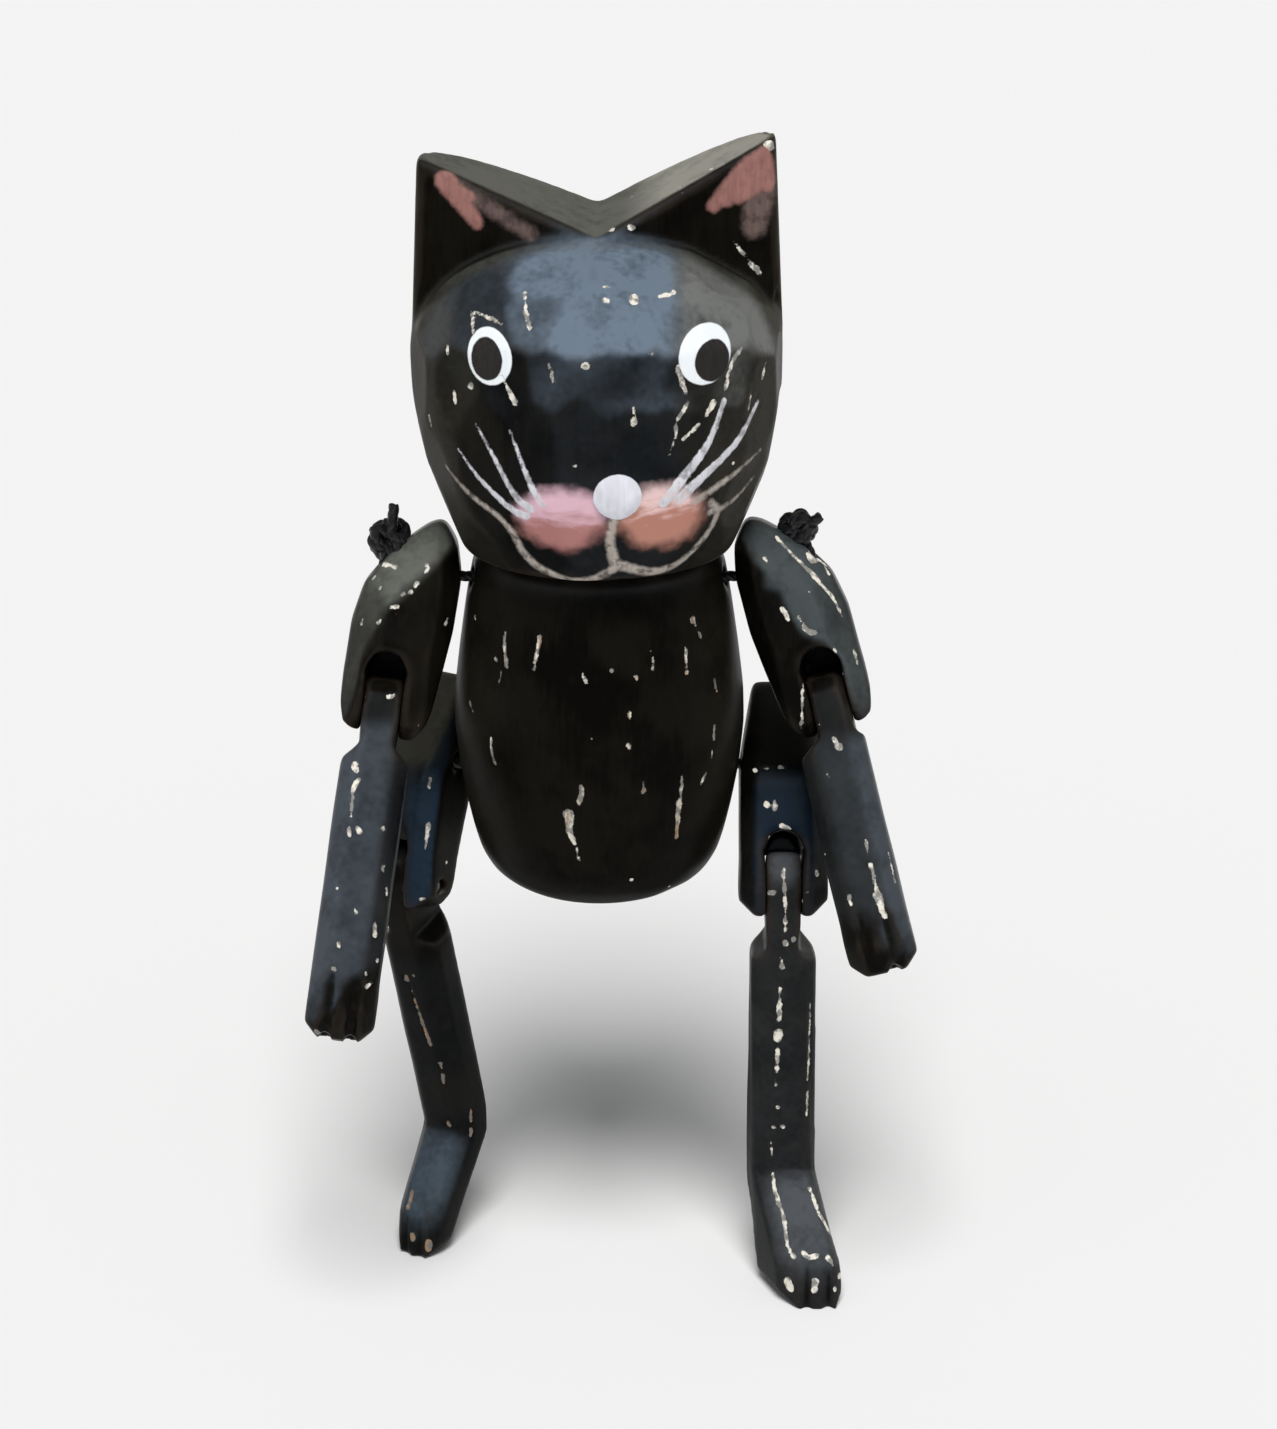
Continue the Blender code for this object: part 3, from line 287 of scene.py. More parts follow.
# Chips in the paint of each piece, as strokes
CHIPS = {
    "head": (
        (0.16, 0.22, (-15.7, 34.9), (-15.5, 32.5)), (0.22, 0.3, (-15.2, 34.8), (-11.9, 34.1)),
        (0.18, 0.28, (-9, 37.5), (-8.7, 35.5), (-8.2, 33.7)), (0.15, 0.3, (-5.8, 29.9), (-5.2, 27.7)),
        (0.45, (-1.4, 29.9), (-1.2, 29.8)), (0.22, 0.38, (-11.7, 27.7), (-10.2, 24.8)),
        (0.42, (-15.9, 26), (-15.8, 26)), (0.4, 0.25, (-18.1, 24.6), (-17.9, 23.4)),
        (0.25, (-18.9, 30.3), (-18.8, 29.4)), (0.25, 0.2, (-21.6, 20.4), (-21.4, 19.2)),
        (0.32, 0.22, (10.3, 29.1), (10.9, 26.9), (11.7, 24.6)),
        (0.26, 0.16, (11.7, 24.6), (10.3, 22.5), (10, 20.3), (9.2, 17.5)),
        (0.25, 0.3, (18.5, 30.3), (17.2, 28.5), (16.4, 25.6)), (0.34, 0.26, (14.9, 24.2), (13.9, 22.6)),
        (0.3, 0.22, (12.9, 21.5), (11, 19.8)), (0.25, (21.7, 27.2), (21.3, 25.5)),
        (0.24, 0.2, (19.8, 23.9), (19.5, 22)), (0.22, (4.7, 24.5), (4.8, 23.9)),
        (0.36, (4.8, 22.9), (4.8, 22.5)), (0.22, (1.1, 38.5), (1.9, 38.5)), (0.55, (4.8, 37.4), (4.8, 37)),
        (0.22, (6.9, 31.2), (7, 31.1)), (0.22, (-2.7, 17), (-2.6, 16.9)),
        (0.14, 0.32, (17.6, 41.6), (19.2, 39.6), (21, 37.4)), (0.45, (1.8, 43.7), (1.9, 43.6)),
        (0.42, (4.4, 44), (4.5, 43.9)), (0.24, 0.46, (10.1, 48.2), (13, 49.8), (16, 51.4)),
        (0.7, 0.55, (21.9, 54), (22.3, 53.7)),
    ),
    "body": (
        (0.26, (-12.3, 40.9), (-12.4, 38.5), (-12.1, 36.4)), (0.16, 0.08, (-12.9, 35.5), (-13.2, 33.8)),
        (0.3, 0.18, (-7.6, 41.2), (-8, 39), (-8.4, 36.8)), (0.3, (-13.6, 37), (-13.5, 36.8)),
        (0.3, 0.25, (-16.6, 41.2), (-16.5, 40.9)), (0.14, 0.26, (-14.4, 26), (-14.3, 23.8), (-13.9, 22.4)),
        (0.24, 0.14, (-17.4, 29.6), (-16.9, 28.4)), (0.16, 0.26, (-2.2, 37), (-1.4, 35.6)),
        (0.26, (5.1, 36.2), (5.2, 35.8)), (0.28, (4.2, 31.4), (4.2, 30.8)), (0.38, (4.1, 27), (4.1, 26.7)),
        (0.2, 0.28, (7.3, 38.6), (7.3, 37)), (0.16, 0.26, (11.6, 39.2), (11.7, 37.4), (11.8, 35.6)),
        (0.38, (12.6, 42.6), (12.6, 42.4)), (0.12, 0.18, (12.9, 41.6), (13.7, 39.8)),
        (0.26, 0.14, (15.6, 33.6), (15.8, 31.8)), (0.18, 0.24, (15.6, 27.4), (15.5, 25.4)),
        (0.14, 0.2, (15.3, 23.8), (15.3, 22.4)), (0.18, 0.26, (6, 21.6), (6.1, 20)),
        (0.24, 0.32, (-2.3, 21.2), (-2.2, 20), (-2.6, 18.6)), (0.12, 0.22, (11.2, 21.6), (11, 18)),
        (0.24, 0.16, (14.4, 20.6), (13.8, 19.4)), (0.72, 0.3, (-4, 16.8), (-3.9, 14.6), (-3.3, 12.4)),
        (0.18, 0.08, (-3, 11.6), (-2.6, 9.6)), (0.5, 0.18, (10.8, 17.4), (10.7, 14.8), (10.5, 12)),
    ),
    "upper_arm_left": (
        (0.13, 0.2, (0, 9.4), (-0.2, 7.6), (-0.2, 5.4), (-0.3, 3)),
        (0.22, 0.34, (-3.7, 27.9), (-1.1, 25.5), (1.1, 23.5)),
        (0.4, 0.12, (1.1, 23.5), (3.8, 20.3), (5.4, 17.3)),
        (0.95, 0.75, (1.2, 25.4, 2.4), (2, 24.4, 4.9), (2.7, 23.7, 4.2)),
        (0.16, 0.24, (2.8, 24), (3.4, 23)), (0.28, 0.22, (-5.3, 26), (-5.1, 25.6)),
        (0.34, 0.3, (-3, 19.6), (-2.1, 18.1)), (0.2, 0.4, (-0.9, 18.6), (0.3, 16.8), (1.3, 16.5)),
        (0.22, 0.15, (4, 14), (4.3, 13)), (0.32, (5.3, 9.7), (5.4, 9.4)),
        (0.26, 0.14, (6.8, 13.1), (7.3, 11.4)),
    ),
    "upper_arm_right": (
        (0.4, 0.34, (-2.1, 24.6, 1.2), (-1.4, 24.6, 0.5), (-0.5, 24.6, -0.1)),
        (0.24, 0.22, (4.1, 25.1), (3.7, 24.6)), (0.22, (2.7, 23.2), (2.4, 22.9)),
        (0.24, 0.22, (1.7, 22.1), (1.3, 21.9)), (0.24, 0.22, (0.7, 21.8), (0.3, 21.5)),
        (0.24, 0.22, (-0.1, 20.2), (-1, 20)), (0.24, (-2.5, 18.2), (-2.8, 17.8)),
        (0.22, (-3.4, 23), (-3.5, 22.8)), (0.22, (-2.4, 22.1), (-2.5, 22)),
        (0.2, (-5, 17.6), (-5.1, 17.1)), (0.3, (2.5, 28.7), (2.4, 28.5)),
        (0.2, 0.3, (6.5, 18.1), (6.2, 17.3)),
    ),
    "forearm_left": (
        (0.3, (-3.5, 32), (-3.1, 31.5)), (0.42, (-2.8, 31.2), (-2.7, 31)),
        (0.2, (-4.4, 27.7), (-4.3, 27.4)), (0.15, 0.18, (0.7, 19.9), (1, 18.2)),
        (0.18, 0.3, (1.3, 17.1), (1.8, 15), (2.2, 13.7)),
        (0.55, 0.3, (2.2, 13.4), (2.6, 12.2), (3.2, 10.7)),
        (0.12, 0.22, (3.8, 18.1), (4.3, 16.2), (4.7, 14.5)), (0.34, 0.2, (-1.6, 13), (-1.3, 12)),
        (0.24, (6.6, 9.4), (6.7, 9)),
    ),
    "forearm_right": (
        (0.26, 0.22, (4.1, 43.6), (4.9, 43.8)), (0.5, 0.4, (-0.2, 35.7), (0, 35.1)),
        (0.36, 0.2, (0.2, 34.1), (-0.4, 32.7), (-0.6, 29.8)), (0.26, 0.24, (-0.8, 28.5), (-0.8, 27.7)),
        (0.24, 0.34, (0.2, 28.5), (0.6, 28.1)), (0.28, (3.6, 28.4), (3.8, 28.1)),
        (0.28, 0.24, (3.7, 23.7), (3.7, 23.3)), (0.28, (0.1, 19.1), (0.3, 18.7)),
        (0.3, 0.42, (2.8, 17), (2.8, 15.8)), (0.26, (-2, 15.3), (-1.9, 15)),
        (0.28, (-2.6, 12.4), (-2.5, 12.2)), (0.34, 0.26, (1.8, 9.8), (2.4, 10.1)),
        (0.42, (-5.2, 3.2), (-4.9, 3)), (0.26, (4.2, 20.8), (4.2, 20)),
        (0.26, 0.2, (3.9, 13.8), (3.8, 12.6)),
    ),
    "thigh_left": (
        (0.26, (-4.1, 22.3), (-3.9, 22.3)), (0.22, (-2.7, 22.6), (-2.3, 22.6)),
        (0.2, (-0.7, 22.7), (-0.2, 22.7)), (0.36, 0.3, (-2.5, 18.4), (-2.3, 18.1)),
        (0.26, 0.3, (-1.4, 18.6), (-1.4, 17.8)), (0.3, 0.36, (-0.4, 15.5), (0.5, 15.1)),
        (0.24, (-2.1, 13.9), (-2.1, 13.5)), (0.3, (4.5, 9.3), (4.6, 9)),
    ),
    "thigh_right": (
        (0.32, 0.18, (1.7, 14.5), (1.5, 12.7), (1.3, 11.2)), (0.2, (2.1, 20.9), (1.9, 19.5)),
        (0.3, 0.24, (0.5, 3.9), (1.1, 3.8)),
    ),
    "lower_leg_left": (
        (0.34, (-4.4, 63), (-3.7, 63.1)), (0.28, 0.18, (-2.4, 66.4), (-2.2, 63), (-2, 57)),
        (0.34, (-2, 55.6), (-1.9, 55.3)), (0.3, 0.26, (0.1, 55.4), (0.1, 55)),
        (0.22, 0.3, (-2.6, 53), (-2.3, 51.4)), (0.2, 0.32, (-2.6, 48.2), (-2.6, 43)),
        (0.62, (-2.7, 41), (-2.7, 40)), (0.3, 0.12, (-2.7, 38.4), (-2.8, 35.2), (-2.9, 32.2)),
        (0.14, 0.24, (1.8, 45.1), (1.8, 38), (1.7, 33)), (0.24, 0.14, (1.7, 30.8), (1.7, 27)),
        (0.3, (-1.9, 25.4), (-1.7, 25.2)), (0.24, (-3.1, 25.2), (-2.9, 25.1)),
        (0.14, 0.16, (-3.4, 22.6), (-3.2, 20.4)), (0.24, 0.3, (-3.1, 17.4), (-2.7, 15), (-1.6, 12.6)),
        (0.34, 0.22, (-1.6, 12.6), (-1.2, 9.6), (-0.7, 8.2)), (0.4, (-0.3, 7.8), (-0.1, 7.7)),
        (0.16, 0.36, (2.2, 15.8), (2.6, 14.8), (3.2, 13.5)),
        (0.26, 0.42, (3.3, 13.2), (4.2, 11.8), (4.9, 10.4)),
        (0.34, 0.2, (5, 10.2), (5.9, 8.6), (6.4, 7.5)), (0.34, 0.4, (1.3, 8.2), (2.1, 7.7), (3.1, 7.9)),
        (0.75, 0.55, (-1, 3.8), (-0.6, 2.9)), (0.6, 0.48, (2.9, 4.2), (2.8, 3.1)),
        (0.5, 0.36, (6.5, 4.4), (6.9, 3.9)),
    ),
    "lower_leg_right": (
        (0.45, (-3.7, 45.4), (-3.6, 45)), (0.12, 0.3, (-3.1, 44), (-1.9, 38.7), (-0.6, 34)),
        (0.36, 0.3, (0.8, 30.4), (0.9, 29.8)), (0.3, 0.2, (1, 28.4), (1.1, 26.8)),
        (0.34, (1.5, 19.4), (1.6, 19)), (0.2, 0.24, (4.9, 21.4), (4.9, 19.4)),
        (0.28, 0.2, (4.8, 18), (4.8, 16.8)), (0.3, 0.36, (-3.8, 9.5), (-4.4, 7.4)),
        (0.42, 0.5, (-7, 4.4), (-6.7, 3.6)), (0.5, 0.55, (-1.4, 3), (-1.3, 2)),
    ),
}

# Pins, cord and knots
PIN_HEAD = 0.34
PIN_HEAD_LENGTH = 1.0
PIN_NECK = 0.2
PIN_RIM = 0.3
PIN_CROWN = 0.6
CROWN_DROP = 0.25
PIN_SIDES = 28
PIN_DOME = 0.25
DOWEL_DOME = 0.4
# Painted shade: no painted sheen within this distance of a pin's axis, where its bore lies
PIN_SHADE = (1.3, 2.0)
CORD_SIZES = {"Ply radius": 0.52, "Ply spread": 0.24, "Lay length": 3.4, "Step": 0.16}
PLY_COUNT = 3
PLY_SIDES = 8
CORD_END = 1.0
STRING_STEP = 0.4
KNOT_STEP = 0.2
KNOT_WRAPS = 5
CORE_WRAPS = 2
CORE_SHARE = 0.42
WRAP_POINTS = 24
WRAP_WAVES = 3.5
KNOT_LEAN = math.radians(62)
KNOT_LIFT = 0.22
KNOT_LEAD = 1.2
# Knots: radius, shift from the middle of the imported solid, and the places of the loose end
SHOULDER_KNOTS = {
    "right": (2.15, (0.35, 0.0, -1.1), ((0.5, -1.2, 1.9), (0.6, -0.9, 3.4), (0.8, -0.6, 5.0))),
    "left": (1.75, (-0.9, 0.0, -0.6), ((1.5, -1.0, 1.0), (2.9, -1.0, 1.9))),
}
HIP_KNOT = (1.5, (0.0, 0.0, 0.0), ((0.0, 0.0, 0.6), (0.0, 0.0, 1.0)))


class Value:
    """A node's output. Sums of values, or of values and numbers, add Math nodes to the same tree."""

    def __init__(self, nodes, socket):
        self.nodes = nodes
        self.socket = socket

    def maths(self, operation, first, second=0.0):
        return self.nodes.add("ShaderNodeMath", {"operation": operation}, {0: first, 1: second})

    def __add__(self, other):
        return self.maths("ADD", self, other)

    def __sub__(self, other):
        return self.maths("SUBTRACT", self, other)

    def __rsub__(self, other):
        return self.maths("SUBTRACT", other, self)

    def __mul__(self, other):
        return self.maths("MULTIPLY", self, other)

    def __truediv__(self, other):
        return self.maths("DIVIDE", self, other)

    __radd__ = __add__
    __rmul__ = __mul__

    def larger(self, other):
        return self.maths("MAXIMUM", self, other)

    def cosine(self):
        return self.maths("COSINE", self)

    def sine(self):
        return self.maths("SINE", self)


class Nodes:
    """A node tree being made, of a finish, of the room or of the cord."""

    def __init__(self, tree, owner=None):
        self.tree = tree
        self.owner = owner
        self.tree.nodes.clear()

    def add(self, kind, settings=None, sockets=None, out=0):
        """Adds any node: its settings first, then the values or links of its sockets."""
        made = self.tree.nodes.new(kind)
        for name, setting in (settings or {}).items():
            setattr(made, name, setting)
        for name, value in (sockets or {}).items():
            for one in value if isinstance(value, list) else [value]:
                if isinstance(one, Value):
                    self.tree.links.new(one.socket, made.inputs[name])
                else:
                    made.inputs[name].default_value = one
        return Value(self, made.outputs[out]) if made.outputs else None

    def attribute(self, name):
        return self.add("ShaderNodeAttribute", {"attribute_name": name}, out=2)

    def place(self, stretch=(1.0, 1.0, 1.0)):
        """The place on the piece in millimetres, drawn out by the given shares."""
        scale = tuple(1 / (MM * share) for share in stretch)
        where = self.add("ShaderNodeTexCoord", out=3)
        return self.vector("MULTIPLY", where, scale)

    def vector(self, operation, first, second, into=1):
        return self.add("ShaderNodeVectorMath", {"operation": operation}, {0: first, into: second})

    def noise(self, where, size, detail=3.0):
        return self.add("ShaderNodeTexNoise", {}, {"Vector": where, "Scale": 1 / size, "Detail": detail})

    def ease(self, value, low, high):
        """0 below low, 1 above high, and a smooth step between."""
        sockets = {"Value": value, "From Min": low, "From Max": high}
        return self.add("ShaderNodeMapRange", {"interpolation_type": "SMOOTHSTEP"}, sockets)

    def tint(self, share, first, second):
        """A colour that goes from the first to the second."""
        colours = [c if isinstance(c, Value) else (*c, 1.0) for c in (first, second)]
        sockets = {0: share, 6: colours[0], 7: colours[1]}
        return self.add("ShaderNodeMix", {"data_type": "RGBA"}, sockets, 2)

    def blend(self, share, first, second):
        """A number that goes from the first to the second."""
        return self.add("ShaderNodeMix", {"data_type": "FLOAT"}, {0: share, 2: first, 3: second})

    def bump(self, height):
        """The normal over a relief whose height is in millimetres."""
        return self.add("ShaderNodeBump", {}, {"Strength": 1.0, "Distance": MM, "Height": height})


def finish_of(name):
    material = bpy.data.materials.new(name)
    material.use_nodes = True
    return Nodes(material.node_tree, material)


def surface(nodes, **sockets):
    """Closes a finish and gives its material. The name of a socket has _ for each space."""
    named = {name.replace("_", " "): value for name, value in sockets.items()}
    shader = nodes.add("ShaderNodeBsdfPrincipled", {}, named)
    nodes.add("ShaderNodeOutputMaterial", {}, {"Surface": shader})
    return nodes.owner


def flecks(nodes, where, size, share, widest):
    """Small round bare spots: in some of the cells of a scatter, up to the given half width."""
    sockets = {"Vector": where, "Scale": 1 / size}
    distance = nodes.add("ShaderNodeTexVoronoi", {}, sockets)
    cell = nodes.add("ShaderNodeTexVoronoi", {}, sockets, 1)
    chance = nodes.add("ShaderNodeSeparateColor", {}, {0: cell})
    radius = (chance - (1 - share)) * (widest / share)
    return 1 - nodes.ease(distance * size - radius, *FLECK_RIM)


def painted_wood(name, sheens, marks=(), *, shine, coat, tan_from):
    """Black paint over carved wood: painted sheen on paler sides as a painted reflection, rubbed arrises, chips,
    flecks and any painted marks.
    """
    nodes = finish_of(name)
    where = nodes.place()
    along = nodes.place(stretch=(1.0, 1.0, 9.0))
    mottle = nodes.noise(where, size=8.0, detail=4.0)
    peel = nodes.noise(where, size=0.9)
    swell = nodes.noise(where, size=3.6, detail=2.0)
    ragged = nodes.noise(where, size=0.75)
    brush = nodes.noise(along, size=0.55)
    edge = nodes.attribute("edge")
    colour = nodes.tint(nodes.ease(mottle + brush * 0.35, 0.50, 0.85), INK, INK_THIN)
    # Painted sheen: each attribute lays its paler colour over the ink, a painted reflection of the room
    for attribute, sheen in sheens:
        share = nodes.attribute(attribute) * (mottle + swell + peel * 0.8 - 0.42)
        colour = nodes.tint(share, colour, sheen)
    rub = nodes.ease(edge * (mottle + 0.35), 0.35, 1.1) * 0.6
    colour = nodes.tint(rub, colour, RUBBED)
    torn = (ragged - 0.5) * 0.6 + (nodes.noise(where, size=1.8, detail=2.0) - 0.5) * 0.5
    chip = 1 - nodes.ease(nodes.attribute("chip") + torn, *CHIP_RIM)
    nick = nodes.ease(edge * (nodes.noise(where, size=2.3, detail=4.0) + ragged * 0.45), 0.95, 1.03)
    spot = flecks(nodes, where, size=2.6, share=0.05, widest=0.34)
    bare = chip.larger(nick).larger(spot)
    grain = nodes.noise(along, size=1.1, detail=4.0) + brush * 0.3
    wood = nodes.tint(nodes.ease(grain, tan_from, tan_from + 0.3), CREAM, TAN)
    dull = nodes.ease(nodes.noise(where, size=1.2, detail=2.0), 0.40, 0.58) * 0.85
    colour = nodes.tint(bare, colour, nodes.tint(dull, wood, DULL_GREY))
    rough = PAINT_ROUGHNESS + (mottle - 0.5) * 0.20 + (brush - 0.5) * 0.10
    rough = nodes.blend(bare, rough, BARE_ROUGHNESS)
    height = peel * PEEL_DEPTH + swell * SWELL_DEPTH + brush * BRUSH_DEPTH - bare * BARE_DEPTH
    gloss = nodes.attribute("polish") * (0.65 + mottle * 0.7) * (1 - bare) * coat
    for mark in marks:
        cover, paint = mark(nodes, where, ragged, brush)
        colour = nodes.tint(cover, colour, paint)
        rough = nodes.blend(cover, rough, MARK_ROUGHNESS)
        gloss = gloss * (1 - cover * 0.8)
        height = height + cover * MARK_HEIGHT
    return surface(
        nodes, Base_Color=colour, Roughness=rough, Normal=nodes.bump(height), Coat_Weight=gloss,
        Specular_IOR_Level=shine, Coat_Roughness=COAT_ROUGHNESS, Coat_IOR=COAT_IOR,
    )


def brushed(attribute, paint, ragged_by=0.35, thin_by=0.0, soft=0.09, streak=0.82):
    """A mark in one colour, with ragged or soft edges and brush streaks, thinner in places."""
    def mark(nodes, where, ragged, brush):
        away = nodes.attribute(attribute) + (ragged - 0.5) * ragged_by
        cover = 1 - nodes.ease(away, -soft, soft)
        if thin_by:
            cover = cover * (1 - nodes.ease(nodes.noise(where, size=1.3), 0.46, 0.66) * thin_by)
        shade = tuple(streak * channel for channel in paint)
        return cover, nodes.tint(nodes.ease(brush, 0.35, 0.65), shade, paint)
    return mark


def cheek(attribute, lower, upper, pale_from, streaks):
    """One cheek of the muzzle: one colour below, paler strokes above, with soft dry edges."""
    def mark(nodes, where, ragged, brush):
        away = nodes.attribute(attribute)
        away = away + (nodes.noise(where, size=2.2, detail=2.0) - 0.5) * CHEEK_RAGGED
        cover = 1 - nodes.ease(away, *CHEEK_RIM)
        streak = nodes.noise(nodes.place(stretch=(3.2, 1.0, 1.0)), size=0.9)
        height = nodes.attribute("pad_height") + (streak - 0.5) * streaks
        pale = nodes.ease(height, pale_from, pale_from + CHEEK_BLEND)
        return cover, nodes.tint(pale, lower, upper)
    return mark


def laid_cord_finish():
    nodes = finish_of("waxed_cord")
    where = nodes.place()
    fibre = nodes.noise(where, size=0.16)
    wax = nodes.noise(where, size=1.2, detail=2.0)
    colour = nodes.tint(nodes.ease(fibre * 0.6 + wax * 0.5, 0.45, 0.75), WAX_BLACK, WAX_GREY)
    return surface(
        nodes, Base_Color=colour, Roughness=0.26 + fibre * 0.25,
        Normal=nodes.bump(fibre * 0.035), Specular_IOR_Level=0.4,
    )


def nail_finish(name, metal):
    nodes = finish_of(name)
    where = nodes.place()
    tarnish = nodes.ease(nodes.noise(where, size=0.8, detail=4.0), 0.45, 0.75)
    dull = tuple(0.35 * channel for channel in metal)
    return surface(
        nodes, Base_Color=nodes.tint(tarnish, metal, dull), Metallic=1.0,
        Roughness=0.24 + tarnish * 0.3, Normal=nodes.bump(nodes.noise(where, size=0.3) * 0.012),
    )


def bare_wood_finish():
    nodes = finish_of("dowel_wood")
    grain = nodes.noise(nodes.place(stretch=(1.0, 1.0, 14.0)), size=0.5, detail=4.0)
    return surface(
        nodes, Base_Color=nodes.tint(nodes.ease(grain, 0.35, 0.7), DOWEL_PALE, DOWEL_DARK),
        Roughness=0.6 + grain * 0.2, Normal=nodes.bump(grain * 0.05),
    )


def value_noise(points, size, seed):
    """A smooth random number from 0 to 1 at each point, for hollows about as wide as size."""
    spot = points / size
    cell = np.floor(spot).astype(np.int64)
    part = spot - cell
    part = part * part * (3 - 2 * part)
    total = np.zeros(len(points))
    for corner in range(8):
        step = np.array((corner & 1, corner >> 1 & 1, corner >> 2))
        key = (cell + step) @ CELL_STEPS + seed * CELL_SEED
        key = (key ^ key >> 13) * CELL_MIX
        share = np.prod(np.where(step, part, 1 - part), axis=1)
        total += share * ((key ^ key >> 16) & CELL_TOP) / CELL_TOP
    return total


def curve_through(stops, step):
    """Points about a step apart on a smooth curve through the stops."""
    stops = np.array(stops, float)
    padded = np.vstack((2 * stops[0] - stops[1], stops, 2 * stops[-1] - stops[-2]))
    made = []
    for k in range(len(stops) - 1):
        before, start, end, after = padded[k:k + 4]
        count = max(2, int(np.linalg.norm(end - start) / step))
        t = (np.arange(count) / count)[:, None]
        bend = 2 * before - 5 * start + 4 * end - after
        swing = 3 * start - before - 3 * end + after
        made.append(start + 0.5 * t * (end - before + t * (bend + t * swing)))
    return np.vstack((*made, stops[-1:]))


class Blank:
    """A wooden piece under the knife: the points of its skin, and the edges that join them."""

    def __init__(self, node, voxel):
        self.node = node
        low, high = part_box(node)
        self.middle = (low.x + high.x) / 2 / MM
        self.underside = low.z / MM
        self.front = low.y / MM
        self.mesh = even_skin(node, voxel)
        self.points = read_floats(self.mesh.vertices, "co") / MM
        ends = np.empty(len(self.mesh.edges) * 2, np.int32)
        self.mesh.edges.foreach_get("vertices", ends)
        self.ends = ends.reshape(-1, 2).astype(np.int64)
        self.joins = np.bincount(self.ends.ravel(), minlength=len(self.points))[:, None]
        self.points = self.averaged(self.points, STEP_ROUNDS)

    def write(self):
        self.mesh.vertices.foreach_set("co", (self.points * MM).astype(np.float32).ravel())
        self.mesh.update()

    def normals(self):
        self.write()
        return read_floats(self.mesh.vertices, "normal")

    def averaged(self, points, rounds):
        first, second = self.ends.T
        count = len(points)
        for _ in range(rounds):
            around = np.empty_like(points)
            for axis in range(3):
                column = points[:, axis]
                around[:, axis] = np.bincount(first, column[second], count)
                around[:, axis] += np.bincount(second, column[first], count)
            points = 0.5 * (points + around / self.joins)
        return points

    def wear(self, rounds, kept=0.0):
        """Rounds the arrises by what is not kept, and leaves the inner corners as they were cut."""
        normals = self.normals()
        move = self.averaged(self.points, rounds) - self.points
        outward = np.maximum((move * normals).sum(1), 0)
        self.points = self.points + (move - normals * outward[:, None]) * (1 - kept)

    def sunk(self, rounds):
        """How far each point lies below its surroundings. It is negative on an arris."""
        return ((self.averaged(self.points, rounds) - self.points) * self.normals()).sum(1)

    def fill(self, rounds, share):
        """Fills the inner corners by a share, and leaves the arrises alone."""
        self.raise_by(np.maximum(self.sunk(rounds), 0) * share)

    def wave(self, depth, seed, kept):
        """Sinks shallow hollows into the faces, as a knife leaves them."""
        hollow = value_noise(self.points, WAVE_SIZE, seed)
        self.points = self.points - self.normals() * (hollow * depth)[:, None] * (1 - kept)

    def near_joint(self, centre):
        """The share of each point that belongs to a hinge, where wear would open its gaps."""
        away = np.linalg.norm(self.points - centre, axis=1)
        return eased(-away, -JOINT_OUTER, -JOINT_INNER)

    def up(self):
        return self.points[:, 2] - self.underside

    def cut_flats(self, starts, depth, reach, spacing, seed, top=math.inf):
        """Pares flats off the round faces: at the given starts, then at random ones a spacing apart."""
        normals = self.normals()
        skin = self.points.copy()
        highest = self.underside + top
        chosen = [int(np.argmin(((skin - start) ** 2).sum(1))) for start, _ in starts]
        source = np.random.default_rng(seed)
        order = source.permutation(len(skin))
        taken = skin[chosen].reshape(-1, 3)
        for k in order[:CUT_TRIES]:
            if skin[k, 2] > highest:
                continue
            if len(taken) and ((taken - skin[k]) ** 2).sum(1).min() < spacing ** 2:
                continue
            taken = np.vstack((taken, skin[k:k + 1]))
            chosen.append(int(k))
        leans = [lean for _, lean in starts]
        leans += list(source.uniform(-CUT_LEAN, CUT_LEAN, len(chosen) - len(starts)))
        for k, back in zip(chosen, leans):
            away = self.points - skin[k]
            near = (away ** 2).sum(1) < reach ** 2
            face = unit(normals[k] + (0, 0, back))
            lean = normals[near] @ face
            if lean.min() < CUT_TURNED or lean.mean() > CUT_FLAT:
                continue
            above = away[near] @ face + depth
            sink = np.where((lean > CUT_FACING) & (above > 0), above, 0)
            self.points[near] -= sink[:, None] * face

    def tree(self):
        return tree_over(self.mesh, self.points)

    def on_skin(self, tree, place):
        """The skin point that shows at a place on the front, or behind a depth that the place names."""
        depth = place[2] if len(place) == 3 else self.front
        start = Vector((self.middle + place[0], depth - 1.0, self.underside + place[1]))
        hit = tree.ray_cast(start, Vector((0, 1, 0)))[0]
        return np.array(hit or tree.find_nearest(start)[0])

    def stroke_distance(self, tree, strokes):
        """How far each skin point lies outside the nearest stroke. It is negative inside."""
        field = np.full(len(self.points), FAR)
        for stroke in strokes:
            stops = [part for part in stroke if isinstance(part, tuple)]
            widths = [part for part in stroke if isinstance(part, float)]
            flat = curve_through(stops, STROKE_STEP)
            line = np.array([self.on_skin(tree, place) for place in flat])
            width = np.linspace(widths[0], widths[-1], len(line))
            inside = (self.points > line.min(0) - FAR) & (self.points < line.max(0) + FAR)
            near = np.flatnonzero(inside.all(1))
            away = np.linalg.norm(self.points[near, None] - line[None], axis=2) - width
            field[near] = np.minimum(field[near], away.min(1))
        return field

    def disc_distance(self, *discs):
        """The same for ellipses painted on the front."""
        field = np.full(len(self.points), FAR)
        for across, up, half, tall in discs:
            x = (self.points[:, 0] - self.middle - across) / half
            z = (self.points[:, 2] - self.underside - up) / tall
            field = np.minimum(field, (np.hypot(x, z) - 1) * min(half, tall))
        behind = self.points[:, 1] > (self.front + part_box(self.node)[1].y / MM) / 2
        return np.where(behind, FAR, field)

    def mark(self, name, values):
        layer = self.mesh.attributes.new(name, "FLOAT", "POINT")
        layer.data.foreach_set("value", values.astype(np.float32))

